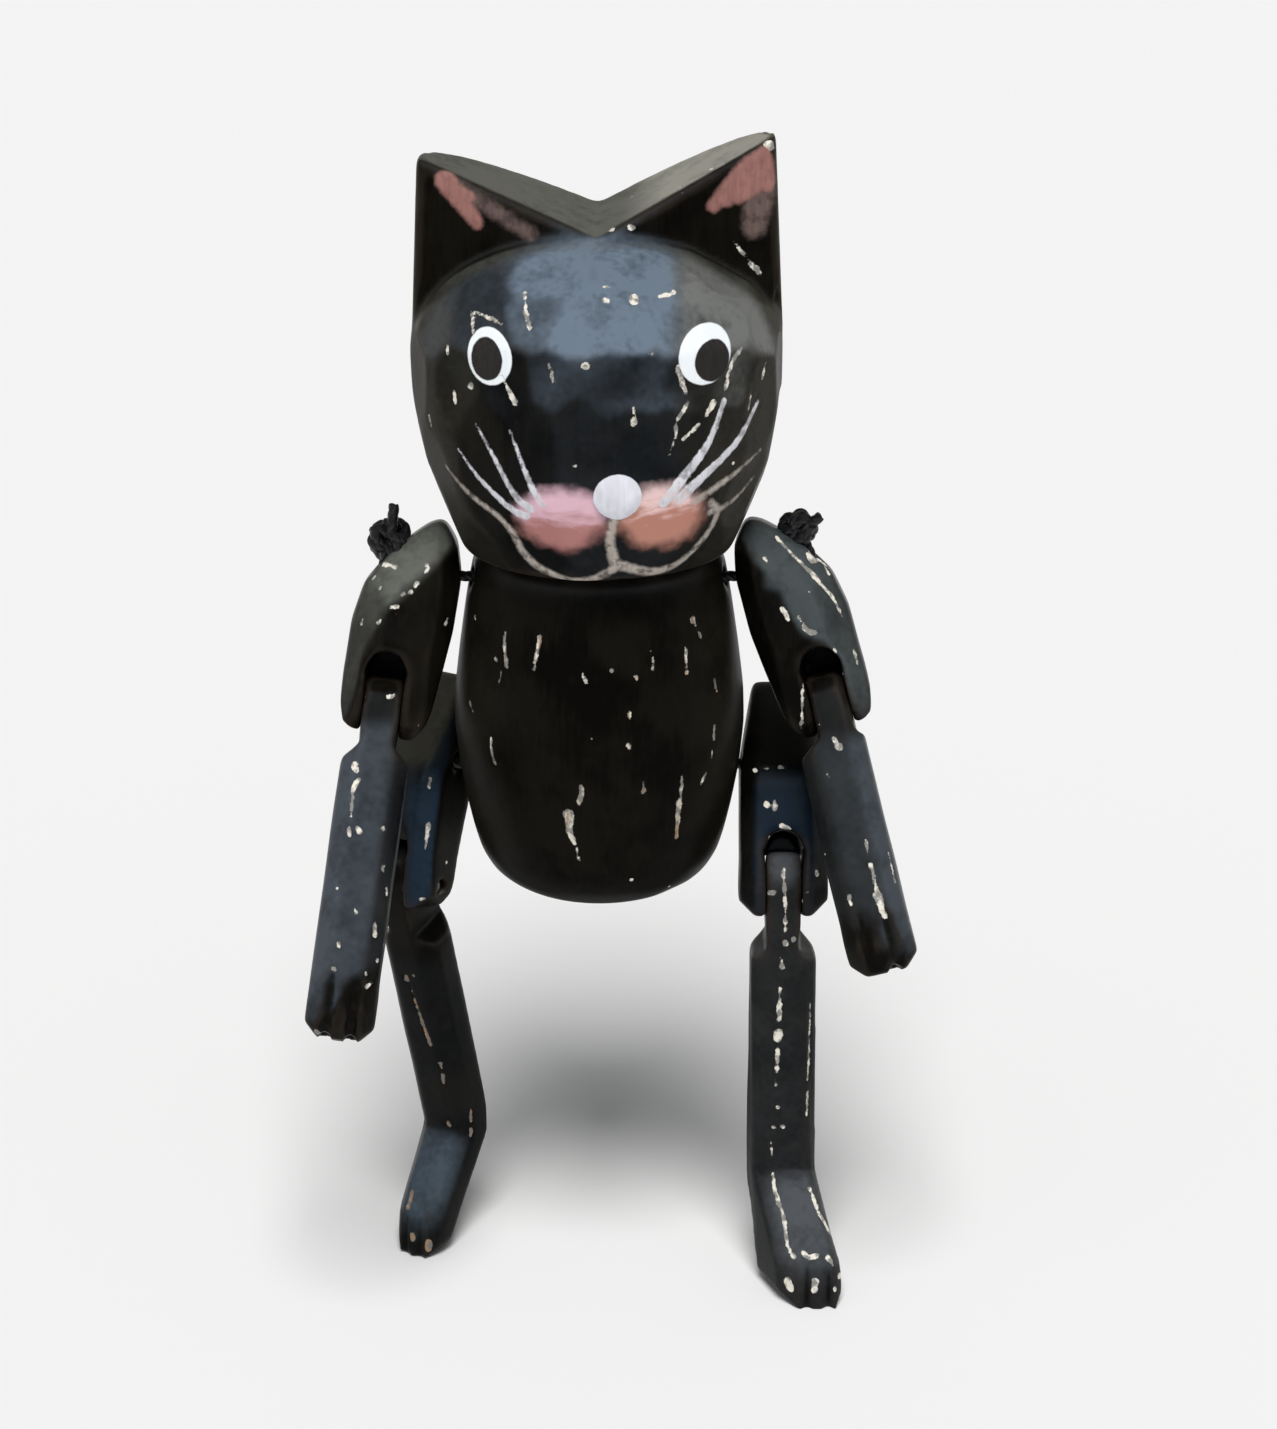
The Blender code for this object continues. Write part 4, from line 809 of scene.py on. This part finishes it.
    def raise_by(self, height):
        self.points = self.points + self.normals() * height[:, None]

    def mark_edges(self):
        """Marks how far each point stands out, 0 on a flat and 1 on an arris. Returns how deep it lies."""
        sunk = self.sunk(EDGE_ROUNDS) / EDGE_FULL
        self.mark("edge", np.clip(-sunk, 0, 1))
        return np.clip(sunk, 0, 1)

    def facing(self, towards, start, full, rounds=SOFT_ROUNDS):
        """How far each skin point faces one way, eased from 0 at the start to 1 where it is full."""
        return eased(self.averaged(self.normals(), rounds) @ unit(towards), start, full)

    def sides(self, start, full):
        """The same for both sides of the figure at once."""
        return self.facing((1, 0, 0), start, full) + self.facing((-1, 0, 0), start, full)

    def done(self, material):
        self.write()
        self.mesh.polygons.foreach_set("use_smooth", np.ones(len(self.mesh.polygons), bool))
        return self.mesh, material


def eased(values, low, high):
    """0 below low, 1 above high, and a smooth step between."""
    share = np.clip((values - low) / (high - low), 0, 1)
    return share * share * (3 - 2 * share)


def unit(way):
    return np.array(way) / np.linalg.norm(way)


def tree_over(mesh, points):
    """A search tree over the faces of a mesh whose points are given in millimetres."""
    return BVHTree.FromPolygons(points.tolist(), [tuple(polygon.vertices) for polygon in mesh.polygons])


def read_floats(items, name):
    flat = np.empty(len(items) * 3, np.float32)
    items.foreach_get(name, flat)
    return flat.reshape(-1, 3).astype(float)


def solid_points(node):
    """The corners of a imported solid, in millimetres."""
    return read_floats(frame["nodes"][node].data.vertices, "co") / MM


def put(name, data):
    piece = bpy.data.objects.new(name, data)
    bpy.context.scene.collection.objects.link(piece)
    return piece


def evaluated_mesh(piece):
    graph = bpy.context.evaluated_depsgraph_get()
    return bpy.data.meshes.new_from_object(piece.evaluated_get(graph))


def even_skin(node, voxel):
    """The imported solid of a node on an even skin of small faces."""
    copy = frame["nodes"][node].data.copy()
    welded = bmesh.new()
    welded.from_mesh(copy)
    bmesh.ops.remove_doubles(welded, verts=welded.verts, dist=WELD * MM)
    welded.to_mesh(copy)
    welded.free()
    block = put("block", copy)
    skin = block.modifiers.new("skin", "REMESH")
    skin.mode = "VOXEL"
    skin.voxel_size = voxel * MM
    mesh = evaluated_mesh(block)
    mesh.materials.clear()
    bpy.data.objects.remove(block)
    bpy.data.meshes.remove(copy)
    return mesh


def keep(name, mesh, material, node, slot):
    """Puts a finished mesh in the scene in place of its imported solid, on the body that has that."""
    bodies = frame["record"]["behaviour"]["bodies"]
    body = next(body for body, nodes in bodies.items() if node in nodes)
    mesh.name = name
    mesh.materials.clear()
    mesh.materials.append(material)
    piece = put(name, mesh)
    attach(piece, body)
    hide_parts(node)


def joint_line(name):
    """A point on a joint's axis, and the way the axis goes."""
    joint = next(j for j in frame["joints"] if j["name"] == name)
    return np.array(joint["pos_m"]) / MM, np.array(joint["axis"])


def sink_of(distance, depth):
    """How far the skin sinks or rises inside a mark, easing in over its rim."""
    return depth * np.clip(0.5 - distance / MARK_RIM, 0, 1)


def carve_head():
    blank = Blank("head", HEAD_VOXEL)
    blank.wear(HEAD_WEAR)
    tree = blank.tree()
    starts = [(blank.on_skin(tree, (x, up)), back) for x, up, back in FACE_CUTS]
    blank.cut_flats(starts, **HEAD_CUTS)
    blank.wear(HEAD_SMOOTH)
    tree = blank.tree()
    marked = {name: blank.stroke_distance(tree, strokes) for name, strokes in FACE_STROKES.items()}
    marked["chip"] = blank.stroke_distance(tree, CHIPS["head"])
    marked.update({name: blank.disc_distance(*shapes) for name, shapes in DISCS.items()})
    painted = ("eye", "pad_right", "pad_left", "whisker", "mouth", "ear")
    thick = np.minimum.reduce([marked[name] for name in painted])
    dome = NOSE_RISE * np.sqrt(np.clip(-marked["nose"] / NOSE_HALF, 0, 1))
    rise = sink_of(thick, PAINT_RISE) - sink_of(marked["chip"], CHIP_DEPTH) + dome
    dot = marked.pop("dot")
    for name in ("ear", "ear_dry"):
        marked[name] = np.maximum(marked[name], -dot)
    # Painted sheen: the brow, the V faces between the ears (saddle) and the sides of the head are painted paler
    # where the room's light would reflect in the paint, with painted shade on the brow's side that faces the cat's
    # right
    front = blank.facing((0, -1, 0), *FACE_FRONT)
    across = blank.points[:, 0] - blank.middle
    patch = BROW_RAGGED * (value_noise(blank.points, BROW_PATCH, BROW_SEED) - 0.5)
    brow_sheen = eased(blank.averaged(blank.normals(), SOFT_ROUNDS)[:, 2] + patch, *BROW_UP)
    brow_sheen = (BROW_LEAST + (1 - BROW_LEAST) * brow_sheen) * eased(-blank.points[:, 1], *BROW_FADE)
    brow_sheen = brow_sheen * front * (1 - BROW_SIDE_SHADE * blank.facing((-1, 0, 0), *BROW_SIDE))
    olive = eased(across + OLIVE_RAGGED * patch, *OLIVE_FROM)
    saddle_sheen = blank.facing((0, 0, 1), *SADDLE_UP) * (1 - front)
    pale = saddle_sheen * eased(across, *PALE_FROM) * blank.facing((-1, 0, 0), *PALE_FACING)
    marked.update({
        "pad_height": blank.up() - PAD_HEIGHT, "brow_sheen": brow_sheen * (1 - olive), "brow_sheen_olive": brow_sheen * olive,
        "saddle_sheen": saddle_sheen, "saddle_sheen_pale": pale, "side": blank.sides(*HEAD_SIDES),
        "polish": blank.facing((0, 0, 1), *POLISH),
    })
    blank.mark_edges()
    for name, values in marked.items():
        blank.mark(name, values)
    blank.raise_by(rise)
    marks = (
        brushed("ear_dry", EAR_DULL, ragged_by=0.8, thin_by=0.4, soft=0.7),
        brushed("ear", EAR_PINK, ragged_by=0.5, thin_by=0.15, soft=0.4),
        cheek("pad_right", SALMON, PALE_PINK, pale_from=-1.7, streaks=4.5),
        cheek("pad_left", APRICOT, BLUSH, pale_from=-0.4, streaks=7.0),
        brushed("mouth", MOUTH_BEIGE, ragged_by=0.5, thin_by=0.7, soft=0.32),
        brushed("whisker", WHISKER_WHITE, ragged_by=0.45, thin_by=0.5, soft=0.14),
        brushed("eye", EYE_WHITE, ragged_by=0.12, streak=0.96),
        brushed("pupil", PUPIL, ragged_by=0.12),
        brushed("nose", NOSE_WHITE, ragged_by=0.15, streak=0.9),
    )
    # Painted sheen and painted reflection of the room, by attribute and colour
    sheens = (
        ("side", SIDE_SHEEN_BROWN), ("brow_sheen", BROW_SHEEN_BLUE), ("brow_sheen_olive", BROW_SHEEN_OLIVE),
        ("saddle_sheen", SADDLE_SHEEN_OLIVE), ("saddle_sheen_pale", SADDLE_SHEEN_PALE),
    )
    return blank.done(painted_wood("painted_face", sheens, marks, shine=0.025, coat=0.40, tan_from=0.72))


def carve_body():
    blank = Blank("body", BODY_VOXEL)
    blank.wear(BODY_WEAR)
    blank.cut_flats([], **BODY_CUTS)
    blank.wear(BODY_SMOOTH)
    # Painted sheen: the sides of the body are painted paler brown, a painted reflection of the room
    material = painted_wood("painted_body", [("sheen", SIDE_SHEEN_BROWN)], shine=0.03, coat=0.3, tan_from=0.50)
    return finish_chips(blank, blank.sides(*BODY_SIDES) * BODY_SIDE_SHEEN, material)


def carve_limb(node, hinge, seed):
    towards, start, full, least, colour = LIMB_SHEENS[node]
    foot = node.startswith("lower_leg")
    blank = Blank(node, LIMB_VOXEL)
    centre, axis = joint_line(hinge)
    joint = blank.near_joint(centre)
    kept = joint
    if node in NOTCHES or node == "lower_leg_left":
        kept = np.maximum(joint, 1 - eased(blank.up(), *TIP_KEEP))
    if foot:
        blank.fill(ANKLE_ROUNDS, 1 - eased(np.abs(blank.up() - ANKLE_HEIGHT), *ANKLE_REACH))
    blank.wear(LIMB_WEAR, JOINT_KEEP * kept[:, None])
    blank.wave(LIMB_WAVE, seed, kept[:, None])
    cheeks = joint * eased(np.abs(blank.normals() @ axis), *JOINT_CHEEK)
    blank.raise_by(JOINT_FIT * cheeks)
    for notch in NOTCHES.get(node, ()):
        off = blank.points[:, 0] - blank.middle - notch - NOTCH_SLOPE * (blank.up() - NOTCH_TOP[0])
        depth = NOTCH_DEPTH * np.clip(1 - (off / NOTCH_HALF) ** 2, 0, 1)
        depth = depth * (1 - eased(blank.up(), *NOTCH_TOP))
        blank.raise_by(-depth * (1 - blank.facing((0, 1, 0), *NOTCH_BEHIND)))
    # Painted sheen: the limb is painted paler where it faces the way given, a painted reflection of the room on
    # the black paint
    sheen = blank.facing(towards, start, full, ANKLE_ROUNDS if foot else SOFT_ROUNDS)
    sheen = least + (1 - least) * sheen
    if node in SHEEN_RIMS:
        across, rim = np.transpose(SHEEN_RIMS[node])
        ragged = 2 * value_noise(blank.points, RIM_PATCH, seed + RIM_SEED) - 1
        above = blank.up() - np.interp(blank.points[:, 0] - blank.middle, across, rim)
        sheen = sheen * eased(above + ragged, *RIM_EASE)
    off = blank.points - centre
    # Painted shade: no sheen round the pin's bore
    sheen = sheen * eased(np.linalg.norm(off - np.outer(off @ axis, axis), axis=1), *PIN_SHADE)
    # Painted shade: no sheen on the tongue up by the hinge
    if node in SHEEN_TOPS:
        sheen = sheen * eased(centre[2] - blank.points[:, 2], *SHEEN_TOPS[node])
    # Painted shade: less sheen on the sides of the upper arms
    if node.startswith("upper_arm"):
        sheen = sheen * (1 - ARM_SIDE_SHADE * blank.sides(*ARM_SIDES))
    sheens = [("sheen", colour)]
    # Painted reflection: the top of the right thigh is painted olive where it faces up
    if node == "thigh_right":
        blank.mark("top", blank.facing((0, 0, 1), *THIGH_TOP))
        sheens.append(("top", THIGH_SHEEN_OLIVE))
    tan_from = 0.30 if node == "lower_leg_right" else 0.76
    material = painted_wood("painted_" + node, sheens, shine=0.04, coat=0.35, tan_from=tan_from)
    return finish_chips(blank, sheen, material)


def finish_chips(blank, sheen, material):
    """Marks and sinks the chips of a piece, and marks its painted sheen, which is left out of the hollows as
    painted shade.
    """
    chip = blank.stroke_distance(blank.tree(), CHIPS[blank.node])
    blank.mark("chip", chip)
    blank.mark("polish", blank.facing((0, 0, 1), *POLISH))
    # Painted shade: the painted sheen is taken out of the hollows
    blank.mark("sheen", sheen * (1 - HOLLOW_SHADE * blank.mark_edges()))
    blank.raise_by(-sink_of(chip, CHIP_DEPTH))
    return blank.done(material)


def laid_cord_tree(material):
    """Geometry nodes that lay a few plies round a path."""
    tree = bpy.data.node_groups.new("laid_cord", "GeometryNodeTree")
    nodes = Nodes(tree)
    tree.interface.new_socket("Path", in_out="INPUT", socket_type="NodeSocketGeometry")
    inputs = {}
    for name in CORD_SIZES:
        inputs[name] = tree.interface.new_socket(name, in_out="INPUT", socket_type="NodeSocketFloat")
    tree.interface.new_socket("Cord", in_out="OUTPUT", socket_type="NodeSocketGeometry")
    entry = tree.nodes.new("NodeGroupInput")
    given = {socket.name: Value(nodes, socket) for socket in entry.outputs if socket.name}
    path = nodes.add("GeometryNodeMeshToCurve", {}, {"Mesh": given["Path"]})
    sockets = {"Curve": path, "Length": given["Step"]}
    path = nodes.add("GeometryNodeResampleCurve", {"mode": "LENGTH"}, sockets)
    travelled = nodes.add("GeometryNodeSplineParameter", out=1)
    normal = nodes.add("GeometryNodeInputNormal")
    tangent = nodes.add("GeometryNodeInputTangent")
    side = nodes.vector("CROSS_PRODUCT", tangent, normal)
    sockets = {"Resolution": PLY_SIDES, "Radius": given["Ply radius"]}
    ring = nodes.add("GeometryNodeCurvePrimitiveCircle", {}, sockets)
    plies = []
    for k in range(PLY_COUNT):
        turn = travelled / given["Lay length"] * TAU + k * TAU / PLY_COUNT
        shares = ((normal, turn.cosine()), (side, turn.sine()))
        parts = [nodes.vector("SCALE", way, share * given["Ply spread"], into=3) for way, share in shares]
        offset = nodes.vector("ADD", *parts)
        ply = nodes.add("GeometryNodeSetPosition", {}, {"Geometry": path, "Offset": offset})
        sockets = {"Curve": ply, "Profile Curve": ring, "Fill Caps": True}
        plies.append(nodes.add("GeometryNodeCurveToMesh", {}, sockets))
    cord = plies
    for step in ("JoinGeometry", "SetShadeSmooth", "RealizeInstances"):
        cord = nodes.add("GeometryNode" + step, {}, {"Geometry": cord})
    cord = nodes.add("GeometryNodeSetMaterial", {}, {"Geometry": cord, "Material": material})
    nodes.add("NodeGroupOutput", {}, {"Cord": cord})
    return tree, {name: socket.identifier for name, socket in inputs.items()}


def lay_cord(path):
    """The mesh of a cord laid along a path of points."""
    mesh = bpy.data.meshes.new("cord_path")
    mesh.from_pydata((path * MM).tolist(), [(k, k + 1) for k in range(len(path) - 1)], [])
    strand = put("strand", mesh)
    laid = strand.modifiers.new("laid", "NODES")
    laid.node_group = cord_tree
    for name, size in CORD_SIZES.items():
        laid[cord_inputs[name]] = size * MM
    made = evaluated_mesh(strand)
    bpy.data.objects.remove(strand)
    bpy.data.meshes.remove(mesh)
    return made


def wound(radius, wraps):
    """A ball of leaning wraps, each a little further round than the last."""
    t = np.linspace(0, 1, WRAP_POINTS * wraps)
    turn = TAU * wraps * t
    swing = TAU * t
    lean, flat = math.sin(KNOT_LEAN), math.cos(KNOT_LEAN)
    first = np.stack((-np.sin(swing), np.cos(swing), 0 * t), axis=1)
    second = np.stack((flat * np.cos(swing), flat * np.sin(swing), lean + 0 * t), axis=1)
    path = np.cos(turn)[:, None] * first + np.sin(turn)[:, None] * second
    return radius * path * (1 + KNOT_LIFT * np.sin(WRAP_WAVES * turn))[:, None]


def cord_ends(node):
    """The middles of a cord's two ends, the cat's left one first."""
    points = solid_points(node)
    across = points[:, 0]
    ends = (points[across > across.max() - CORD_END], points[across < across.min() + CORD_END])
    return [(end.min(0) + end.max(0)) / 2 for end in ends]


def tie_knot(node, cord, carrier, radius, shift, tail):
    """A knot drawn tight against what carries it: out of the hole, round and round itself, and off."""
    points = solid_points(node)
    centre = (points.min(0) + points.max(0)) / 2
    tree = tree_over(frame["nodes"][carrier].data, solid_points(carrier))
    axis = unit(centre - np.array(tree.find_nearest(Vector(centre))[0]))
    across = unit(np.cross((0.0, 1.0, 0.0), axis))
    ways = np.array((across, np.cross(axis, across), axis))
    ends = cord_ends(cord)
    hole, other = ends if node.endswith("left") else ends[::-1]
    out = unit(hole - other)
    rise = [hole - out * KNOT_LEAD - centre - shift, hole + out * KNOT_LEAD / 2 - centre - shift]
    core = wound(CORE_SHARE * radius, CORE_WRAPS)
    path = np.vstack((rise, np.vstack((core, wound(radius, KNOT_WRAPS))) @ ways, tail))
    route = centre + shift + curve_through(path, KNOT_STEP)
    keep(node + "_cord", lay_cord(route), cord_finish, node, "cord")


def string_through(node, left, right):
    """A cord through the body, bent where it goes into each limb."""
    start, end = cord_ends(node)
    stops = (start, joint_line(left)[0], joint_line(right)[0], end)
    route = curve_through(stops, STRING_STEP)
    keep(node + "_laid", lay_cord(route), cord_finish, node, "cord")


def turned_pin(node, material, slot, dome, head=0.0):
    """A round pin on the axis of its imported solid, with domed ends that may be wider than the rest."""
    points = np.unique(solid_points(node).round(3), axis=0)
    centre = (points.min(0) + points.max(0)) / 2
    axis = np.linalg.svd(points - centre)[2][0]
    along = (points - centre) @ axis
    half = np.abs(along).max()
    radius = np.linalg.norm(points - centre - np.outer(along, axis), axis=1).max()
    across = unit(np.cross(axis, (0.0, 1.0, 0.0) if abs(axis[1]) < 0.9 else (1.0, 0.0, 0.0)))
    around = np.cross(axis, across)
    wide = radius + head
    rim = wide * PIN_RIM
    profile = [
        (0.0, -half), (wide * PIN_CROWN, -half + dome * CROWN_DROP), (wide - rim * PIN_RIM, -half + dome),
        (wide, -half + dome + rim), (wide, -half + PIN_HEAD_LENGTH),
        (radius, -half + PIN_HEAD_LENGTH + PIN_NECK),
    ]
    profile += [(r, -h) for r, h in reversed(profile)]
    angles = [TAU * k / PIN_SIDES for k in range(PIN_SIDES)]
    turned = bmesh.new()
    rings = []
    for r, h in profile:
        spots = [centre + axis * h + r * (math.cos(a) * across + math.sin(a) * around) for a in angles]
        rings.append([turned.verts.new(spot * MM) for spot in (spots if r else [centre + axis * h])])
    for lower, upper in zip(rings, rings[1:]):
        for k in range(PIN_SIDES):
            n = (k + 1) % PIN_SIDES
            corners = [lower[k % len(lower)], lower[n % len(lower)]]
            corners += [upper[n % len(upper)], upper[k % len(upper)]]
            turned.faces.new(list(dict.fromkeys(corners)))
    bmesh.ops.recalc_face_normals(turned, faces=turned.faces)
    for face in turned.faces:
        face.smooth = True
    mesh = bpy.data.meshes.new(node)
    turned.to_mesh(mesh)
    turned.free()
    keep(node + "_turned", mesh, material, node, slot)


def set_camera():
    low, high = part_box("body")
    camera = put("camera", bpy.data.cameras.new("camera"))
    camera.location = (
        (low.x + high.x) / 2 + CAMERA_ACROSS * MM,
        (low.y + high.y) / 2 - CAMERA_AWAY * MM,
        CAMERA_HEIGHT * MM,
    )
    camera.rotation_euler = (math.pi / 2 - CAMERA_PITCH, 0, 0)
    camera.data.lens = CAMERA_LENS
    camera.data.sensor_width = CAMERA_SENSOR
    camera.data.clip_start = CAMERA_NEAR * MM
    bpy.context.scene.camera = camera


def light_room():
    """A broad cool light ahead, a dimmer one overhead, a warm room behind and a soft key light in front."""
    world = bpy.data.worlds.new("room")
    bpy.context.scene.world = world
    world.use_nodes = True
    nodes = Nodes(world.node_tree)
    way = nodes.add("ShaderNodeTexCoord", out=0)
    back = nodes.add("ShaderNodeSeparateXYZ", {}, {0: way}, 1)
    up = nodes.add("ShaderNodeSeparateXYZ", {}, {0: way}, 2)
    room = nodes.tint(nodes.ease(back + up * ROOM_TILT, *ROOM_EASE), ROOM_AHEAD, ROOM_BEHIND)
    sky = nodes.tint(nodes.ease(back, *SKY_EASE), SKY_AHEAD, SKY_OVERHEAD)
    share = nodes.ease(up - back.larger(0.0) * SKY_TILT, *SKY_RISE)
    glow = nodes.add("ShaderNodeBackground", {}, {"Color": nodes.tint(share, room, sky), "Strength": 1.0})
    nodes.add("ShaderNodeOutputWorld", {}, {"Surface": glow})
    key = put("key", bpy.data.lights.new("key", "SUN"))
    key.data.energy = KEY_STRENGTH
    key.data.color = KEY_COLOUR
    key.data.angle = KEY_SPREAD
    key.rotation_euler = (math.pi / 2 - KEY_HEIGHT, 0, 0)
    key.visible_glossy = False


def lay_floor():
    nodes = finish_of("pale_floor")
    material = surface(nodes, Base_Color=(*FLOOR_COLOUR, 1.0), Roughness=1.0, Specular_IOR_Level=0.0)
    half = FLOOR_HALF * MM
    mesh = bpy.data.meshes.new("floor")
    corners = [(-half, -half, 0), (half, -half, 0), (half, half, 0), (-half, half, 0)]
    mesh.from_pydata(corners, [], [(0, 1, 2, 3)])
    mesh.materials.append(material)
    floor = put("floor", mesh)


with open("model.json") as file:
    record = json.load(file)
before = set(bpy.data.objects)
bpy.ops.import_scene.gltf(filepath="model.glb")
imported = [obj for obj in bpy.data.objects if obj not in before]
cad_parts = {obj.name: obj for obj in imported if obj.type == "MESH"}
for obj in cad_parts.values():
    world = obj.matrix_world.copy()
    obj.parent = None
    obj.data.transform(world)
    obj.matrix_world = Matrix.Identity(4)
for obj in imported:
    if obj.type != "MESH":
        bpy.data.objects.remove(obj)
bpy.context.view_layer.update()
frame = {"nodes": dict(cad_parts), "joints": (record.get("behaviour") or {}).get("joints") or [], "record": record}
set_camera()
light_room()
lay_floor()
cord_finish = laid_cord_finish()
cord_tree, cord_inputs = laid_cord_tree(cord_finish)
keep("head_carved", *carve_head(), "head", "black_paint")
keep("body_carved", *carve_body(), "body", "black_paint")
for seed, (limb, hinge) in enumerate(LIMBS):
    for hand, side in enumerate(SIDES):
        name = f"{limb}_{side}"
        carved = carve_limb(name, f"{hinge}_{side}", 2 * seed + hand)
        keep(name + "_carved", *carved, name, "black_paint")
for side in SIDES:
    tie_knot("shoulder_knot_" + side, "shoulder_cord", "upper_arm_" + side, *SHOULDER_KNOTS[side])
    tie_knot("hip_knot_" + side, "hip_cord", "thigh_" + side, *HIP_KNOT)
string_through("shoulder_cord", "shoulder_left", "shoulder_right")
string_through("hip_cord", "hip_left", "hip_right")
elbow_nail = nail_finish("elbow_nail", NAIL_BRASSY)
knee_nail = nail_finish("knee_nail", NAIL_STEEL)
for side in SIDES:
    turned_pin("elbow_pin_" + side, elbow_nail, "pin_steel", PIN_DOME, PIN_HEAD)
    turned_pin("knee_pin_" + side, knee_nail, "pin_steel", PIN_DOME, PIN_HEAD)
turned_pin("neck_dowel", bare_wood_finish(), "bare_wood", DOWEL_DOME)
bpy.context.scene.view_settings.view_transform = "Standard"
